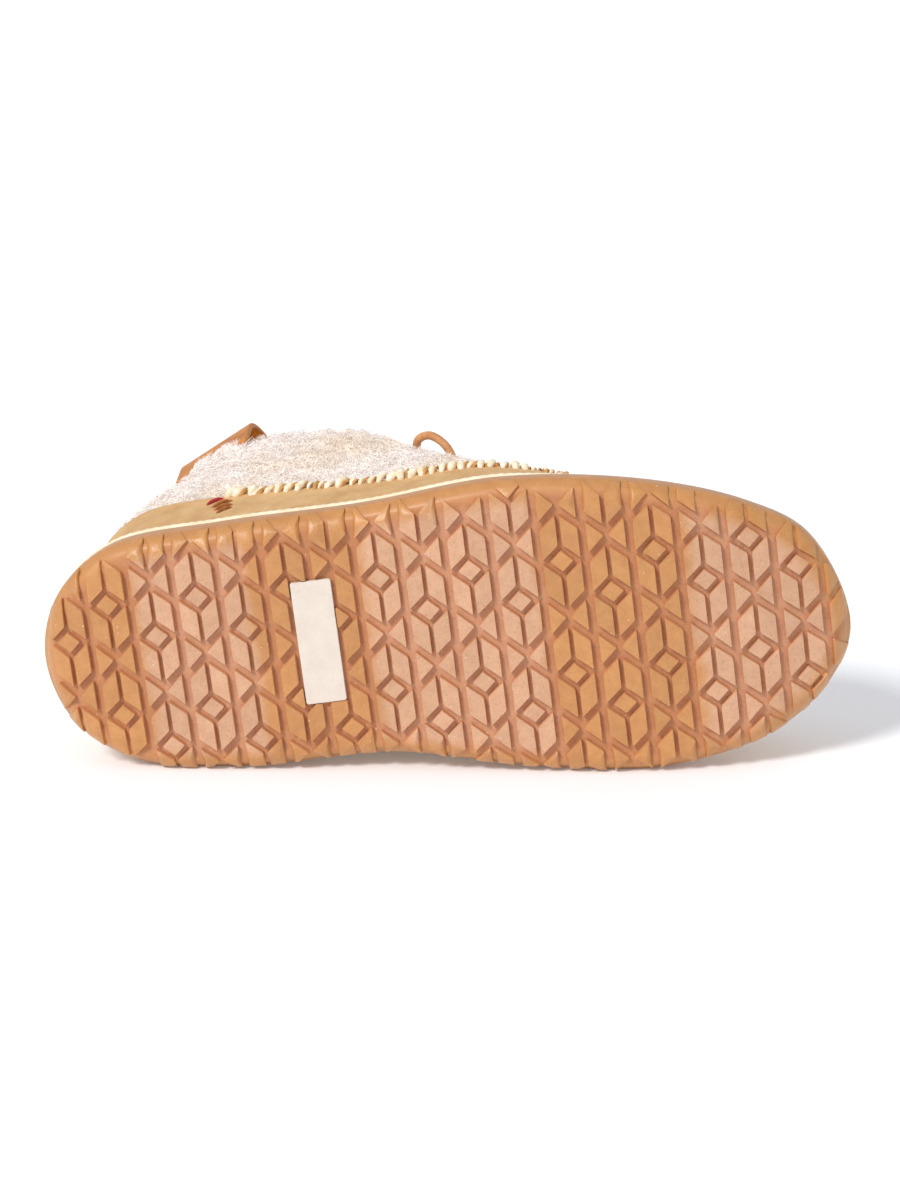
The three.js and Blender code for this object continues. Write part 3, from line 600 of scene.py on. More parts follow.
def turn_of(u):
    return 1 - np.abs(1 - 2 * (u % 1.0))


def wall(u, t):
    """Points of the upper's outside: u once round from the toe over the inner side, t from sole to collar."""
    rise, bulge, reach, drop, flare, angle = table_at(WALL_LINES, turn_of(u)).T[:, :, None]
    angle = np.where(u % 1.0 > 0.5, -1, 1)[:, None] * np.radians(angle)
    plan, out = sole_edge(u, FEATHER_INSET)
    out = np.column_stack([out, np.zeros(len(u))])
    foot = np.column_stack([plan, sole_top(plan[:, 0]) + FIT_GAP])
    power = 2 / COLLAR_SQUARENESS
    along = np.sign(np.cos(angle)) * np.abs(np.cos(angle)) ** power
    across = np.sign(np.sin(angle)) * np.abs(np.sin(angle)) ** power
    height = COLLAR_BACK_HEIGHT + (COLLAR_FRONT_HEIGHT - COLLAR_BACK_HEIGHT) * (along + 1) / 2
    top = np.hstack([COLLAR_X + COLLAR_HALF_LENGTH * along, COLLAR_HALF_WIDTH * across, height])
    up = np.array([[0.0, 0.0, 1.0]])
    low = foot + out * bulge + up * rise
    level = np.column_stack([plan, top[:, 2]])
    high = top + (level - top) * reach + out * flare - up * drop
    t = t[:, None]
    s = 1 - t
    return s**3 * foot + 3 * s**2 * t * low + 3 * s * t**2 * high + t**3 * top


def skin(u, t, offset):
    """Points off the wall by a distance that is positive outside, and the wall's normals there."""
    step = 1e-3
    u, t = np.broadcast_arrays(np.asarray(u, float), np.asarray(t, float))
    around = wall(u + step, t) - wall(u - step, t)
    climb = wall(u, np.minimum(t + step, 1)) - wall(u, np.maximum(t - step, 0))
    normal = np.cross(around, climb)
    normal[:, 2] *= np.clip(np.minimum(t, 1 - t) / LEVEL_ENDS, 0, 1)
    normal = unit(normal)
    return wall(u, t) + normal * np.broadcast_to(offset, u.shape)[:, None], normal


def share_at_height(u, height):
    low, high = np.zeros(len(u)), np.ones(len(u))
    for _ in range(30):
        middle = (low + high) / 2
        under = wall(u, middle)[:, 2] < height
        low, high = np.where(under, middle, low), np.where(under, high, middle)
    return low


def rand_share(u, share):
    """Where a share of the rand's height lies on the wall lines."""
    rim = skin(u, np.zeros(len(u)), FIT_GAP + BINDING_DEPTH)[0]
    base = sole_top(rim[:, 0]) + BINDING_HEIGHT + 2 * FIT_GAP
    top = table_at(RAND_TOP, turn_of(u))[:, 0]
    return share_at_height(u, base + (top - base) * share)


def off_round(u, place):
    """The shorter way round from a place, as a signed share."""
    return (u - place + 0.5) % 1.0 - 0.5


def bell(x, half_width):
    return np.exp(-((x / half_width) ** 2))


def furrow(x, half_width, ridge):
    """A hollow of depth 1 between two ridges."""
    return bell(x, half_width) - ridge * bell(np.abs(x) - 2 * half_width, half_width)


def two_noises(points, coarse, fine, share):
    return np.array([
        noise.noise(Vector(point / coarse)) + share * noise.noise(Vector(point / fine)) for point in points
    ])


u = np.arange(UPPER_AROUND) / UPPER_AROUND
even = np.ones(UPPER_AROUND)
rand_line = rand_share(u, FLEECE_START)
# points, normals, share of the full pile, share up the wall
layers = []
for row in range(UPPER_HIDDEN_ROWS):
    t = rand_line * row / UPPER_HIDDEN_ROWS
    layers.append((*skin(u, t, 0), 0 * even, t))
for row in range(UPPER_ROWS):
    t = rand_line + (1 - rand_line) * row / (UPPER_ROWS - 1)
    layers.append((*skin(u, t, 0), soft(row / PILE_FADE_ROWS) * even, t))
for row in range(1, CROWN_ROWS + 1):
    angle = math.pi * row / (CROWN_ROWS + 1)
    point, normal = skin(u, even, -WALL / 2 * (1 - math.cos(angle)))
    up = np.array([0, 0, math.sin(angle)])
    layers.append((point + COLLAR_ROLL * up, normal * math.cos(angle) + up, even, even))
for row in range(LINING_ROWS):
    t = (1 - row / (LINING_ROWS - 1)) * even
    point, normal = skin(u, t, -WALL)
    rows_left = LINING_ROWS - 1 - row
    full = LINING_PILE * soft(row / PILE_FADE_ROWS + 0.4) * soft(rows_left / PILE_FADE_ROWS)
    layers.append((point, -normal, full * even, t))
shell, shell_normals, shag, shares = [np.concatenate(column) for column in zip(*layers)]
shaggy = np.flatnonzero(shag > 0.2)


def nub_field(spacing, seed):
    """Heights from 0 to 1 of round nubs spread over the shell, and the nub that each point belongs to."""
    draw = np.random.default_rng(seed)
    girth = layers[GIRTH_ROW][0]
    around = np.linalg.norm(girth - np.roll(girth, 1, 0), axis=1).sum()
    count = int(FLEECE_SIDES * around * FLEECE_HEIGHT / spacing**2)
    tree = nearest_in(shell[draw.choice(shaggy, count, replace=False)])
    found = [tree.find(point) for point in shell]
    reach = np.array([hit[2] for hit in found]) / (NUB_REACH * spacing)
    return np.clip(1 - reach**2, 0, 1), np.array([hit[1] for hit in found])


nubs, nub_of = nub_field(NUB_SPACING, seed=5)
curls, _ = nub_field(CURL_SPACING, seed=6)
crease = np.zeros(len(shell))
round_share = np.tile(u, len(layers))
for place, height, half_round, half_up, depth_mm in CREASES:
    across = bell(off_round(round_share, place), half_round)
    crease += depth_mm * across * furrow(shares - height, half_up, 0.45)
lift = shag * (NUB_HEIGHT * nubs + CURL_HEIGHT * curls - PILE_SINK)
fleece_points = shell + shell_normals * (lift - shag * crease)[:, None]
yellowed = soft((shell[:, 2] - YELLOWED_FROM) / YELLOWED_RISE)
patchy = two_noises(shell, PATCH_COARSE, PATCH_FINE, 0.5)
warm = np.clip(0.32 + 1.1 * patchy + 0.25 * yellowed, 0, 1)

fleece, tree, shader = new_material("curly_fleece")
warmth = attribute(tree, "warm")
here = node(tree, "ShaderNodeTexCoord", {}).outputs["Object"]
wool = noise_at(tree, here, scale=1100, detail=4, roughness=0.7)
# The wool is painted a little darker at the roots of its curls and in the hollows between its nubs and
# ruffles, which is painted shade low in the pile; the tips and crests are lighter.
shaded_root_colour = mixed(tree, warmth, linear(233, 223, 217), linear(228, 211, 194))
lit_tip_colour = mixed(tree, warmth, linear(239, 232, 228), linear(235, 224, 211))
wool_colour_and_shade = mixed(tree, attribute(tree, "painted_lit_share"), shaded_root_colour, lit_tip_colour)
flecks = ramped(tree, wool, (0.45, 0), (0.75, 0.4))
flecked = mixed(tree, flecks, wool_colour_and_shade, linear(238, 232, 228))
feed(tree, shader, {
    "Base Color": flecked,
    # The fleece glows faintly in its own colour: painted light that lifts the shade inside the pile.
    "Emission Color": flecked,
    "Emission Strength": 0.2,
    "Normal": bumped(tree, 0.8, 0.0004, wool),
    "Roughness": 0.95,
    "Specular IOR Level": 0.15,
    "Sheen Weight": 0.25,
    "Sheen Roughness": 0.5,
})
shell_faces = grid_faces(len(layers), UPPER_AROUND, True, True)
# The shell's nub tops get the lighter tip colour and the hollows between them the darker root colour, as
# painted shade.
upper = make_piece(
    "fleece_upper", fleece_points, shell_faces.tolist(), fleece,
    {"painted_lit_share": 0.2 + 0.6 * nubs, "warm": warm},
)
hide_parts("upper")

tab_tree = BVHTree.FromObject(frame["nodes"]["pull_tab"], bpy.context.evaluated_depsgraph_get())
face_rows = np.arange(len(shell_faces)) // UPPER_AROUND
quads = fleece_points[shell_faces]
face_area = np.linalg.norm(np.cross(quads[:, 2] - quads[:, 0], quads[:, 3] - quads[:, 1]), axis=1) / 2
nub_lean = np.random.default_rng(7).normal(size=(nub_of.max() + 1, 3))


def pile(name, first_row, last_row, start, end, count, length, upward, seed):
    """Loose curls of wool on part of the shell, each a thin ribbon that leans with its nub or upward."""
    draw = np.random.default_rng(seed)
    face_u = (shell_faces[:, 0] % UPPER_AROUND) / UPPER_AROUND
    rooted = (face_rows >= first_row) & (face_rows < last_row) & (face_u > start) & (face_u <= end)
    weight = face_area * rooted
    chosen = draw.choice(len(shell_faces), count, p=weight / weight.sum())
    a, b = draw.random((2, count, 1))
    corner = shell_faces[chosen]

    def blend(values):
        low = values[corner[:, 0]] * (1 - a) + values[corner[:, 1]] * a
        high = values[corner[:, 3]] * (1 - a) + values[corner[:, 2]] * a
        return low * (1 - b) + high * b

    root, out = blend(fleece_points), unit(blend(shell_normals))
    lean = nub_lean[nub_of[corner[:, 0]]] + 0.6 * draw.normal(size=(count, 3)) + (0, 0, upward)
    lean = unit(lean - out * np.sum(lean * out, 1, keepdims=True))
    side = unit(np.cross(out, lean))
    size = length * draw.uniform(*CURL_SIZES, (count, 1))
    world_root, world_out = to_world(root), out @ shoe_axes
    for i in range(count):
        hit = tab_tree.ray_cast(Vector(world_root[i]), Vector(world_out[i]), TAB_REACH_M)
        if hit[3] is not None:
            size[i] = min(size[i, 0], 0.5 * hit[3] * 1000)
    turn, speed = draw.uniform(0, 2 * np.pi, (count, 1)), draw.uniform(*CURL_TURNS, (count, 1))
    curl = draw.uniform(*CURL_RADII, (count, 1)) * size / length
    steps = np.linspace(0, 1, CURL_STEPS)
    line = np.stack([
        root + out * size * (0.1 + 0.62 * s - 0.12 * s * s) * (s > 0) + lean * size * 0.55 * s * s
        + (np.cos(turn + speed * s) * lean + np.sin(turn + speed * s) * side) * curl * min(1, 2 * s)
        for s in steps
    ], 1)
    ahead = np.gradient(line, axis=1)
    flat = np.cross(ahead, (out + 0.5 * draw.normal(size=(count, 3)))[:, None])
    flat /= np.linalg.norm(flat, axis=2, keepdims=True) + 1e-9
    half = (draw.uniform(*CURL_HALF_WIDTHS, (count, 1)) * (1 - 0.75 * steps**2))[:, :, None]
    points = np.stack([line - flat * half, line + flat * half], 2).reshape(-1, 3)
    base = np.arange(count)[:, None] * 2 * CURL_STEPS + np.arange(0, 2 * CURL_STEPS - 2, 2)
    faces = np.stack([base, base + 1, base + 3, base + 2], -1).reshape(-1, 4)
    # Each curl is painted darker towards its root, as shade low in the pile.
    values = {
        "painted_lit_share": np.tile(np.repeat(0.3 + 0.7 * steps, 2), count),
        "warm": np.repeat(warm[corner[:, 0]], 2 * CURL_STEPS),
    }
    return make_piece(name, points, faces.tolist(), fleece, values)


outside_end = UPPER_HIDDEN_ROWS + UPPER_ROWS
crown_end = outside_end + CROWN_ROWS + 4
TAB_ROWS = (UPPER_HIDDEN_ROWS + 42, UPPER_HIDDEN_ROWS + 48)
# piece, first row, row after the last, shares round between which it grows, count, length, upward, seed
PILES = (
    ("fleece_pile_outer_back", UPPER_HIDDEN_ROWS, outside_end, 0.5, 0.78, 16000, 3.6, 0, 31),
    ("fleece_pile_outer_front", UPPER_HIDDEN_ROWS, outside_end, 0.78, 1, 16000, 3.6, 0, 32),
    ("fleece_pile_inner_back", UPPER_HIDDEN_ROWS, outside_end, 0.22, 0.5, 14000, 3.6, 0, 33),
    ("fleece_pile_inner_front", UPPER_HIDDEN_ROWS, outside_end, -1, 0.22, 15000, 3.6, 0, 34),
    ("fleece_pile_collar", outside_end - 2, crown_end, -1, 1, 7000, 3.6, 0, 35),
    ("fleece_pile_lining", crown_end, crown_end + 26, -1, 1, 10000, 3.4, 0, 36),
    ("fleece_pile_tab", *TAB_ROWS, 0.55, 0.62, 2600, 7, 4, 37),
)
for row in PILES:
    pile(*row)

# Insole: a footbed faced with the same fleece, trodden lower under the heel and ball, glued to the sole.
# It lies loose of the wall all round.
INSOLE_DEPTH, INSOLE_AROUND = WALL + 0.1, 220
# share of the way to the middle line, height
INSOLE_EDGE = ((1, 0), (0.02, 0), (0, 0.6), (0, 2.8), (0.02, 3.6))
INSOLE_TOP = [(share, 4) for share in np.linspace(0.05, 1, 26)]
TRODDEN_PLACES, TRODDEN_LENGTH, TRODDEN_WIDTH, TRODDEN_DEPTH = ((48, 0), (188, 5)), 30, 24, 0.9
RUFFLE_COARSE, RUFFLE_FINE, RUFFLE_HEIGHT = 2.6, 1.2, 0.5
u = np.arange(INSOLE_AROUND) / INSOLE_AROUND
foot_top = sole_top(sole_edge(u, FEATHER_INSET)[0][:, 0]) + FIT_GAP
rows = []
for share, lift_mm in (*INSOLE_EDGE, *INSOLE_TOP):
    rim = skin(u, share_at_height(u, foot_top + lift_mm), -INSOLE_DEPTH)[0][:, :2]
    plan = rim + (spine_of(rim) - rim) * share
    rows.append(np.column_stack([plan, sole_top(plan[:, 0]) + FIT_GAP + lift_mm]))
points = np.concatenate(rows)
top_side = np.repeat(np.arange(len(rows)) >= len(INSOLE_EDGE), INSOLE_AROUND)
trodden = sum(
    bell(points[:, 0] - x, TRODDEN_LENGTH) * bell(points[:, 1] - y, TRODDEN_WIDTH) for x, y in TRODDEN_PLACES
)
ruffle = two_noises(points, RUFFLE_COARSE, RUFFLE_FINE, 0.6)
points[:, 2] += top_side * (RUFFLE_HEIGHT * ruffle - TRODDEN_DEPTH * trodden)
# The footbed's ruffle crests get the lighter tip colour and its hollows the darker root colour, as painted
# shade.
insole = make_piece(
    "fleece_insole", points, grid_faces(len(rows), INSOLE_AROUND, False, True).tolist(), fleece,
    {"painted_lit_share": np.clip(0.45 + 0.5 * ruffle, 0, 1), "warm": np.clip(0.35 + 0.4 * trodden, 0, 1)},
)
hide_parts("insole")

# Suede rand: a band of split leather round the foot of the upper, cemented down to the binding.
# Its top edge is rolled and whipped to the fleece with thick yarn, from a tack of coloured thread forwards.
RAND_AROUND, RAND_ROWS = 620, 30
# share of the height, thickness
RAND_PROFILE = ((0, 1.3), (0.4, 1.4), (0.78, 1.4), (0.86, 1.75), (0.92, 2.0), (0.97, 1.75), (1, 1.2))
STITCH_PITCH, STITCH_BACK_X, STITCH_FADE, STITCH_LINE, STITCH_OFF = 3.5, 64, 8, 0.92, 2.3
PUCKER, PUCKER_START, PUCKER_RISE = 0.28, 0.75, 0.2
WAVE_HEIGHT, WAVE_ROUND, WAVE_UP = 0.12, 9, 2
LEAST_THICKNESS, ROLL_THICKNESS, ROLL_RISE, BACK_SINK = 0.5, 0.55, 0.35, 0.1
CREASE_START, CREASE_SHARE = 0.15, 0.8
# creases of the band: share round, share up, half width round, half width up, depth
RAND_CREASES = (
    (0.86, 0.55, 0.012, 0.35, 0.5),
    (0.9, 0.5, 0.01, 0.3, 0.4),
    (0.13, 0.5, 0.012, 0.35, 0.5),
    (0.6, 0.4, 0.014, 0.3, 0.4),
    (0.53, 0.5, 0.012, 0.3, 0.35),
    (0.72, 0.35, 0.02, 0.2, 0.3),
)
suede = worked_material(
    "tan_suede", (220, 181, 131), (195, 149, 100), 110, 1300, 0.0003, 0.86, 0.98,
    {
        "Specular IOR Level": 0.2, "Sheen Weight": 0.35, "Sheen Roughness": 0.4,
        "Sheen Tint": linear(250, 226, 180),
    },
)
dense = np.linspace(-0.5, 0.5, 6001)
line = skin(dense, rand_share(dense % 1.0, STITCH_LINE), STITCH_OFF)[0]
run = np.concatenate([[0], np.cumsum(np.linalg.norm(np.diff(line, axis=0), axis=1))])
whipped = np.flatnonzero(line[:, 0] > STITCH_BACK_X)
stitch_runs = np.arange(run[whipped[0]], run[whipped[-1]], STITCH_PITCH)
u = np.arange(RAND_AROUND) / RAND_AROUND
run_of_u = np.interp(off_round(u, 0), dense, run)
in_run = soft((run_of_u - stitch_runs[0]) / STITCH_FADE) * soft((stitch_runs[-1] - run_of_u) / STITCH_FADE)
pucker = in_run * 0.5 * (1 + np.cos(2 * np.pi * (run_of_u - stitch_runs[0]) / STITCH_PITCH))
shares = np.linspace(0, 1, RAND_ROWS)
thickness = np.interp(shares, *np.array(RAND_PROFILE).T)
lines = [rand_share(u, share) for share in shares]
wave_ring = WAVE_ROUND * np.column_stack([np.cos(2 * np.pi * u), np.sin(2 * np.pi * u)])
rows = []
for share, thick, t in zip(shares, thickness, lines):
    near_top = soft((share - PUCKER_START) / PUCKER_RISE)
    wave = np.array([noise.noise(Vector((x, y, share * WAVE_UP))) for x, y in wave_ring])
    dip = np.zeros(RAND_AROUND)
    for place, height, half_round, half_up, depth_mm in RAND_CREASES:
        dip += depth_mm * bell(share - height, half_up) * furrow(off_round(u, place), half_round, 0.5)
    relief = WAVE_HEIGHT * wave - dip * soft(share / CREASE_START) * CREASE_SHARE
    offset = FIT_GAP + thick - near_top * PUCKER * pucker + relief
    rows.append(skin(u, t, np.maximum(offset, FIT_GAP + LEAST_THICKNESS))[0])
rows.append(skin(u, lines[-1], FIT_GAP + ROLL_THICKNESS)[0] + (0, 0, ROLL_RISE))
rows += [skin(u, t, FIT_GAP - BACK_SINK)[0] for t in (lines[-1], lines[RAND_ROWS // 2], lines[0])]
rand = make_piece(
    "suede_band", np.concatenate(rows), grid_faces(len(rows), RAND_AROUND, True, True).tolist(),
    suede, {},
)
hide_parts("suede_rand")


def tubes(paths, normals, radii, sides, ply):
    """Closed tubes of twisted yarn along rows of points: their points and faces."""
    count, steps = paths.shape[:2]
    ahead = unit(np.gradient(paths, axis=1))
    across = unit(np.cross(ahead, normals))
    over = np.cross(across, ahead)
    angle = 2 * np.pi * np.arange(sides) / sides
    twist = np.linspace(0, ply, steps)[:, None]
    swell = 1 + PLY_SWELL * np.cos(2 * (angle + twist * np.pi))
    size = np.broadcast_to(radii, (count, steps))[:, :, None] * swell
    way = over[:, :, None] * np.cos(angle)[:, None] + across[:, :, None] * np.sin(angle)[:, None]
    points = (paths[:, :, None] + way * size[:, :, :, None]).reshape(-1, 3)
    single = grid_faces(steps, sides, False, True)
    caps = [list(range(sides))[::-1], list(range((steps - 1) * sides, steps * sides))]
    faces = []
    for i in range(count):
        first = i * steps * sides
        faces += (single + first).tolist() + [[first + k for k in cap] for cap in caps]
    return points, faces


# height over the rand's top edge, share of the slant, distance off the wall, share of the yarn's thickness
STITCH = np.array((
    (2.6, 0.5, 0.2, 0.6), (2.1, 0.45, 1.5, 0.9), (1.2, 0.3, 2.6, 1.05), (0.1, 0.1, 3.1, 1.1),
    (-1.0, -0.1, 3.2, 1.1), (-2.0, -0.26, 2.9, 1.05), (-2.9, -0.42, 2.1, 0.9), (-3.4, -0.5, 0.9, 0.6),
))
STITCH_SLANT, YARN_SIDES, YARN_PLY, PLY_SWELL = 2.4, 10, 2.5, 0.13
STITCH_VARIES = {
    "slant": (0.2, 1.7), "place": (-0.8, 0.8), "length": (0.7, 1.15), "height": (-0.5, 0.5),
    "lift": (0.85, 1.12), "thickness": (0.55, 1.35),
}


def stitch_row(name, runs, radius, material, seed):
    """Uneven whip stitches of one yarn at places along the rand's top edge."""
    draw = np.random.default_rng(seed)
    over_edge, slant, off, thick = STITCH.T

    def vary(what):
        return draw.uniform(*STITCH_VARIES[what], (len(runs), 1))

    at_run = runs[:, None] + slant * STITCH_SLANT * vary("slant") + vary("place")
    stitch_u = np.interp(at_run, run, dense).ravel() % 1.0
    edge_t = rand_share(stitch_u, 1.0)
    step = 1e-3
    climb = wall(stitch_u, edge_t + step) - wall(stitch_u, edge_t - step)
    speed = np.linalg.norm(climb, axis=1) / (2 * step)
    stitch_t = edge_t + (over_edge * vary("length") + vary("height")).ravel() / speed
    paths, path_normals = skin(stitch_u, stitch_t, (off * vary("lift")).ravel())
    shape = (len(runs), len(STITCH), 3)
    radii = radius * thick * vary("thickness")
    points, faces = tubes(paths.reshape(shape), path_normals.reshape(shape), radii, YARN_SIDES, YARN_PLY)
    make_piece(name, points, faces, material, {}, outward=True)


cream_yarn = worked_material(
    "cream_yarn", (255, 250, 238), (236, 206, 152), 420, 1900, 0.0002, 0.85, 0.95
)
gold_yarn = worked_material(
    "gold_yarn", (222, 170, 98), (168, 112, 54), 420, 1900, 0.0002, 0.8, 0.92
)
stitch_row("whip_stitches_cream", stitch_runs, 1.05, cream_yarn, 41)
stitch_row("whip_stitches_gold", stitch_runs[:-1] + STITCH_PITCH / 2, 0.55, gold_yarn, 42)

# places of a thread's two ends along and up the shoe
TACKS = {
    "tack_red": ((56.5, 40.9), (62.3, 45.1)),
    "tack_brown_1": ((58.8, 37.1), (65.4, 42.5)),
    "tack_brown_2": ((59.8, 33.9), (66, 38.2)),
    "tack_brown_3": ((61.3, 30.2), (66, 35.3)),
}
TACK_OFFSETS = np.array([1.0, 2.0, 2.5, 2.65, 2.5, 2.0, 1.0])
THREAD_RADIUS = 0.52 * np.array([0.7, 1, 1.1, 1.1, 1.1, 1, 0.7])
THREAD_PLY, TACK_SEAT = 3, 1.5
red_thread = worked_material(
    "red_thread", (200, 46, 58), (142, 24, 36), 500, 2400, 0.0002, 0.6, 0.8
)
brown_thread = worked_material(
    "brown_thread", (188, 118, 54), (134, 78, 32), 500, 2400, 0.0002, 0.6, 0.8
)
back_u = np.linspace(0.5, 0.75, 1200)
for name, ends in TACKS.items():
    x, z = np.linspace(*ends, len(TACK_OFFSETS)).T
    band_x = skin(back_u, share_at_height(back_u, z.mean()), TACK_SEAT)[0][:, 0]
    tack_u = np.interp(x, band_x, back_u)
    path, path_normal = skin(tack_u, share_at_height(tack_u, z), TACK_OFFSETS)
    points, faces = tubes(path[None], path_normal[None], THREAD_RADIUS, YARN_SIDES, THREAD_PLY)
    thread = red_thread if name == "tack_red" else brown_thread
    make_piece(name, points, faces, thread, {}, outward=True)

# Binding: a soft cream cord laid in the joint between the rand and the sole and caught in the cement.
# It is twisted from two strands.
BINDING_AROUND, BINDING_SIDES, BINDING_TWIST, BINDING_SWELL = 900, 10, 3.0, 0.06
SUNK_DEPTH, SUNK_START, SUNK_LENGTH = 1.5, 150, 50
binding_material = worked_material(
    "cream_binding", (255, 243, 216), (240, 214, 174), 200, 2200, 0.00015, 0.7, 0.85
)
u = np.arange(BINDING_AROUND) / BINDING_AROUND
middle, way_out = skin(u, np.zeros(BINDING_AROUND), FIT_GAP + BINDING_DEPTH / 2)
middle[:, 2] = sole_top(middle[:, 0]) + FIT_GAP + BINDING_HEIGHT / 2
length = np.cumsum(np.linalg.norm(middle - np.roll(middle, 1, 0), axis=1))
turns = np.round(length[-1] / BINDING_TWIST)
phase = np.pi * turns * length / length[-1]
sunk = SUNK_DEPTH * soft((middle[:, 0] - SUNK_START) / SUNK_LENGTH)
rows = []
for angle in 2 * np.pi * np.arange(BINDING_SIDES) / BINDING_SIDES - np.pi / 2:
    size = 1 + BINDING_SWELL * np.cos(2 * (angle - phase))
    reach = (BINDING_DEPTH / 2 * math.cos(angle) * size - sunk * (math.cos(angle) + 1) / 2)[:, None]
    rows.append(middle + way_out * reach + np.outer(BINDING_HEIGHT / 2 * math.sin(angle) * size, (0, 0, 1)))
binding = make_piece(
    "binding_twist", np.concatenate(rows), grid_faces(BINDING_SIDES, BINDING_AROUND, True, True).tolist(),
    binding_material, {},
)
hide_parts("binding")

# Pull tab: a strip of smooth brown leather folded over the collar at the outer back and sewn through.
# Its cut edges are pared round.
leather = worked_material(
    "brown_leather", (212, 135, 46), (168, 98, 28), 130, 1500, 0.00008, 0.42, 0.62,
    {"Coat Weight": 0.08},
)
tab_mesh = bpy.data.meshes.new("leather_tab")
whole = bmesh.new()
whole.from_mesh(frame["nodes"]["pull_tab"].data)
bmesh.ops.remove_doubles(whole, verts=whole.verts, dist=0.00002)
bmesh.ops.dissolve_limit(whole, angle_limit=math.radians(2), verts=whole.verts, edges=whole.edges)
corners = [
    edge for edge in whole.edges if len(edge.link_faces) == 2 and edge.calc_face_angle() > math.radians(50)
]
bmesh.ops.bevel(whole, geom=corners, offset=0.00055, segments=3, profile=0.6, affect="EDGES")
whole.to_mesh(tab_mesh)
whole.free()
tab_mesh.polygons.foreach_set("use_smooth", np.ones(len(tab_mesh.polygons), bool))
tab_mesh.set_sharp_from_angle(angle=math.radians(40))
tab_mesh.materials.append(leather)
tab = bpy.data.objects.new("leather_tab", tab_mesh)
bpy.context.scene.collection.objects.link(tab)
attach(tab, "root")
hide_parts("pull_tab")

# Lace: a round leather thong tied in a bow at the throat, with two loops and two short ends.
# The knot is the thong wrapped over itself.
LACE_DIAMETER, LACE_POINTS = 3, 61
KNOT_PLACE = (134.9, 0.9, 117)
# place across, radius of the wrap, lean in degrees
KNOT_WRAPS = ((-2.7, 2.1, 16), (0.0, 2.5, -10), (2.7, 2.1, -18))
KNOT_THONG_RADIUS = 1.45
LACE_ROUTES = {
    "lace_loop_outer": (
        (133.5, -5.5, 116.8), (129.4, -14.4, 119.3), (124, -25.5, 118), (121.2, -34.2, 114.2),
        (122.4, -40.2, 110.2), (127.2, -42.2, 106.6), (132.8, -38.6, 103), (135.6, -31.2, 100.9),
        (136.4, -23, 102.6), (136.4, -13.9, 107.2), (135.6, -6, 113.5),
    ),
    "lace_loop_inner": (
        (133.4, 7.1, 116.7), (130.7, 15.4, 119.4), (126.5, 26.2, 118.3), (123.6, 35.8, 114.7),
        (124.2, 41.5, 110), (129.4, 43, 105.6), (134.5, 40, 101.9), (137.3, 32.5, 99.6),
        (137.9, 23.5, 101.6), (137.5, 14.4, 107.1), (136, 7.7, 113.5),
    ),
    "lace_end_outer": (
        (139.5, -1.8, 114.7), (144, 0.8, 112.9), (147.6, 8.5, 109.4), (149, 16.3, 104.9),
        (149.2, 25.8, 101.6), (149.2, 34.6, 99.8),
    ),
    "lace_end_inner": (
        (137.9, 4, 113.5), (141.4, 9.4, 109.5), (143, 16.6, 105.5), (143.6, 25.2, 103.1),
        (143.8, 33.3, 102),
    ),
}
lace_leather = worked_material(
    "lace_leather", (214, 156, 104), (172, 112, 66), 220, 1700, 0.0001, 0.5, 0.7
)
knot_points, knot_faces = [], []
around, sides = np.radians(np.arange(0, 360, 12)), np.radians(np.arange(0, 360, 36))
for across, wrap, lean in KNOT_WRAPS:
    ring = wrap + KNOT_THONG_RADIUS * np.cos(sides)[None]
    points = np.stack([
        (ring * np.cos(around)[:, None]).ravel(),
        np.tile(KNOT_THONG_RADIUS * np.sin(sides), len(around)),
        (ring * np.sin(around)[:, None]).ravel(),
    ], 1)
    turned = points @ np.array(Matrix.Rotation(math.radians(lean), 3, "X")).T
    knot_faces += (grid_faces(len(around), len(sides), True, True) + sum(map(len, knot_points))).tolist()
    knot_points.append(turned + KNOT_PLACE + np.array([0, across, 0]))
knot = make_piece(
    "lace_knot_wraps", np.concatenate(knot_points), knot_faces, lace_leather, {}, outward=True
)
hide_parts("lace_knot")
for name, route in LACE_ROUTES.items():
    places = to_world(through(route, np.linspace(0, 1, LACE_POINTS), False))
    curve = bpy.data.curves.new(name + "_thong", "CURVE")
    curve.dimensions = "3D"
    spline = curve.splines.new("POLY")
    spline.points.add(len(places) - 1)
    for point, place in zip(spline.points, places):
        point.co = (*place, 1)
    curve.bevel_depth = LACE_DIAMETER / 2000
    curve.bevel_resolution = 4
    curve.use_fill_caps = True
    curve.materials.append(lace_leather)
    thong = bpy.data.objects.new(name + "_thong", curve)
    bpy.context.scene.collection.objects.link(thong)
    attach(thong, "root")
    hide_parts(name)

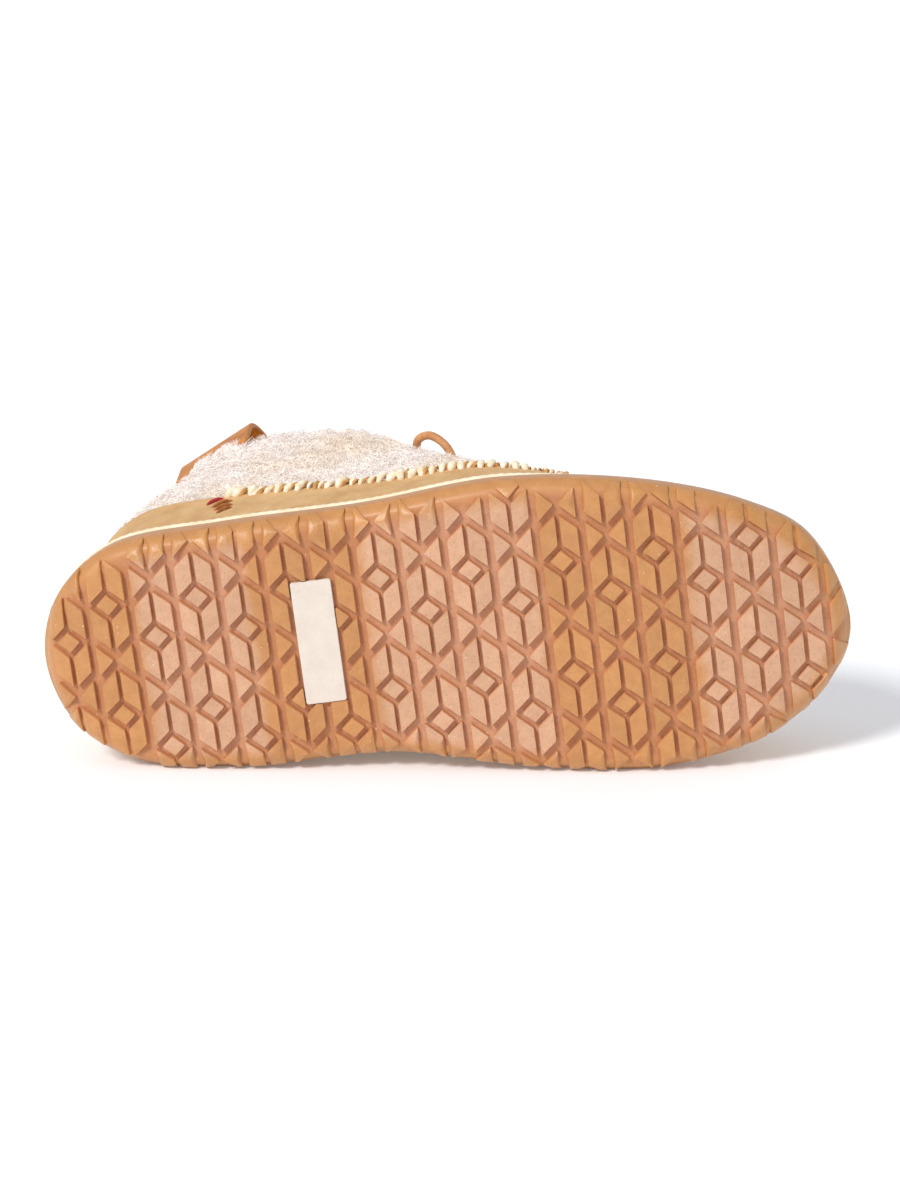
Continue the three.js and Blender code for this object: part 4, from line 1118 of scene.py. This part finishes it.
# Stage: a plain white surface under soft light from the upper left, with a pale sky of light all round.
# The camera stands where the photograph was taken from.
FLOOR_HALF = 6
CAMERA_TURN = (15.948, 6.6, -5.562)
CAMERA_SHIFT = np.array([-8.546, -8.12, 1174.8])
CAMERA_FIT_ORIGIN = np.array([132, -21, 0])
CAMERA_LENS = 107.87
SUN_WAY = (0.4, 0.64, -0.65)
scene = bpy.context.scene
floor_mesh = bpy.data.meshes.new("floor")
floor_mesh.from_pydata(
    [(x * FLOOR_HALF, y * FLOOR_HALF, 0) for x, y in ((-1, -1), (1, -1), (1, 1), (-1, 1))], [], [[0, 1, 2, 3]]
)
floor_material, tree, shader = new_material("white_floor")
feed(tree, shader, {
    "Base Color": (0.94, 0.955, 0.99, 1),
    "Emission Color": (0.97, 0.97, 1, 1),
    "Emission Strength": 0.1,
    "Roughness": 0.85,
    "Specular IOR Level": 0.1,
})
floor_mesh.materials.append(floor_material)
floor = bpy.data.objects.new("floor", floor_mesh)
scene.collection.objects.link(floor)
world = bpy.data.worlds.new("pale_sky")
world.use_nodes = True
sky = world.node_tree.nodes["Background"]
feed(world.node_tree, sky, {"Color": (0.965, 0.975, 1.0, 1), "Strength": 0.62})
scene.world = world
sun_data = bpy.data.lights.new("window", "SUN")
sun_data.energy = 2.25
sun_data.angle = math.radians(15)
sun_data.color = (1.0, 0.985, 0.96)
sun = bpy.data.objects.new("window", sun_data)
sun.rotation_mode = "QUATERNION"
sun.rotation_quaternion = Vector(SUN_WAY).to_track_quat("-Z", "Y")
scene.collection.objects.link(sun)
camera_rows = np.array(Euler([math.radians(a) for a in CAMERA_TURN], "XYZ").to_matrix())
camera_place = CAMERA_FIT_ORIGIN - camera_rows.T @ CAMERA_SHIFT
right, down, away = camera_rows @ shoe_axes
camera_data = bpy.data.cameras.new("camera")
camera_data.lens = CAMERA_LENS
camera_data.sensor_width = 36
camera_data.clip_start, camera_data.clip_end = 0.05, 50
camera = bpy.data.objects.new("camera", camera_data)
pose = Matrix(np.column_stack([right, -down, -away]).tolist()).to_4x4()
pose.translation = Vector(to_world(camera_place))
camera.matrix_world = pose
scene.collection.objects.link(camera)
scene.camera = camera
scene.view_settings.view_transform = "Standard"

bpy.context.view_layer.update()
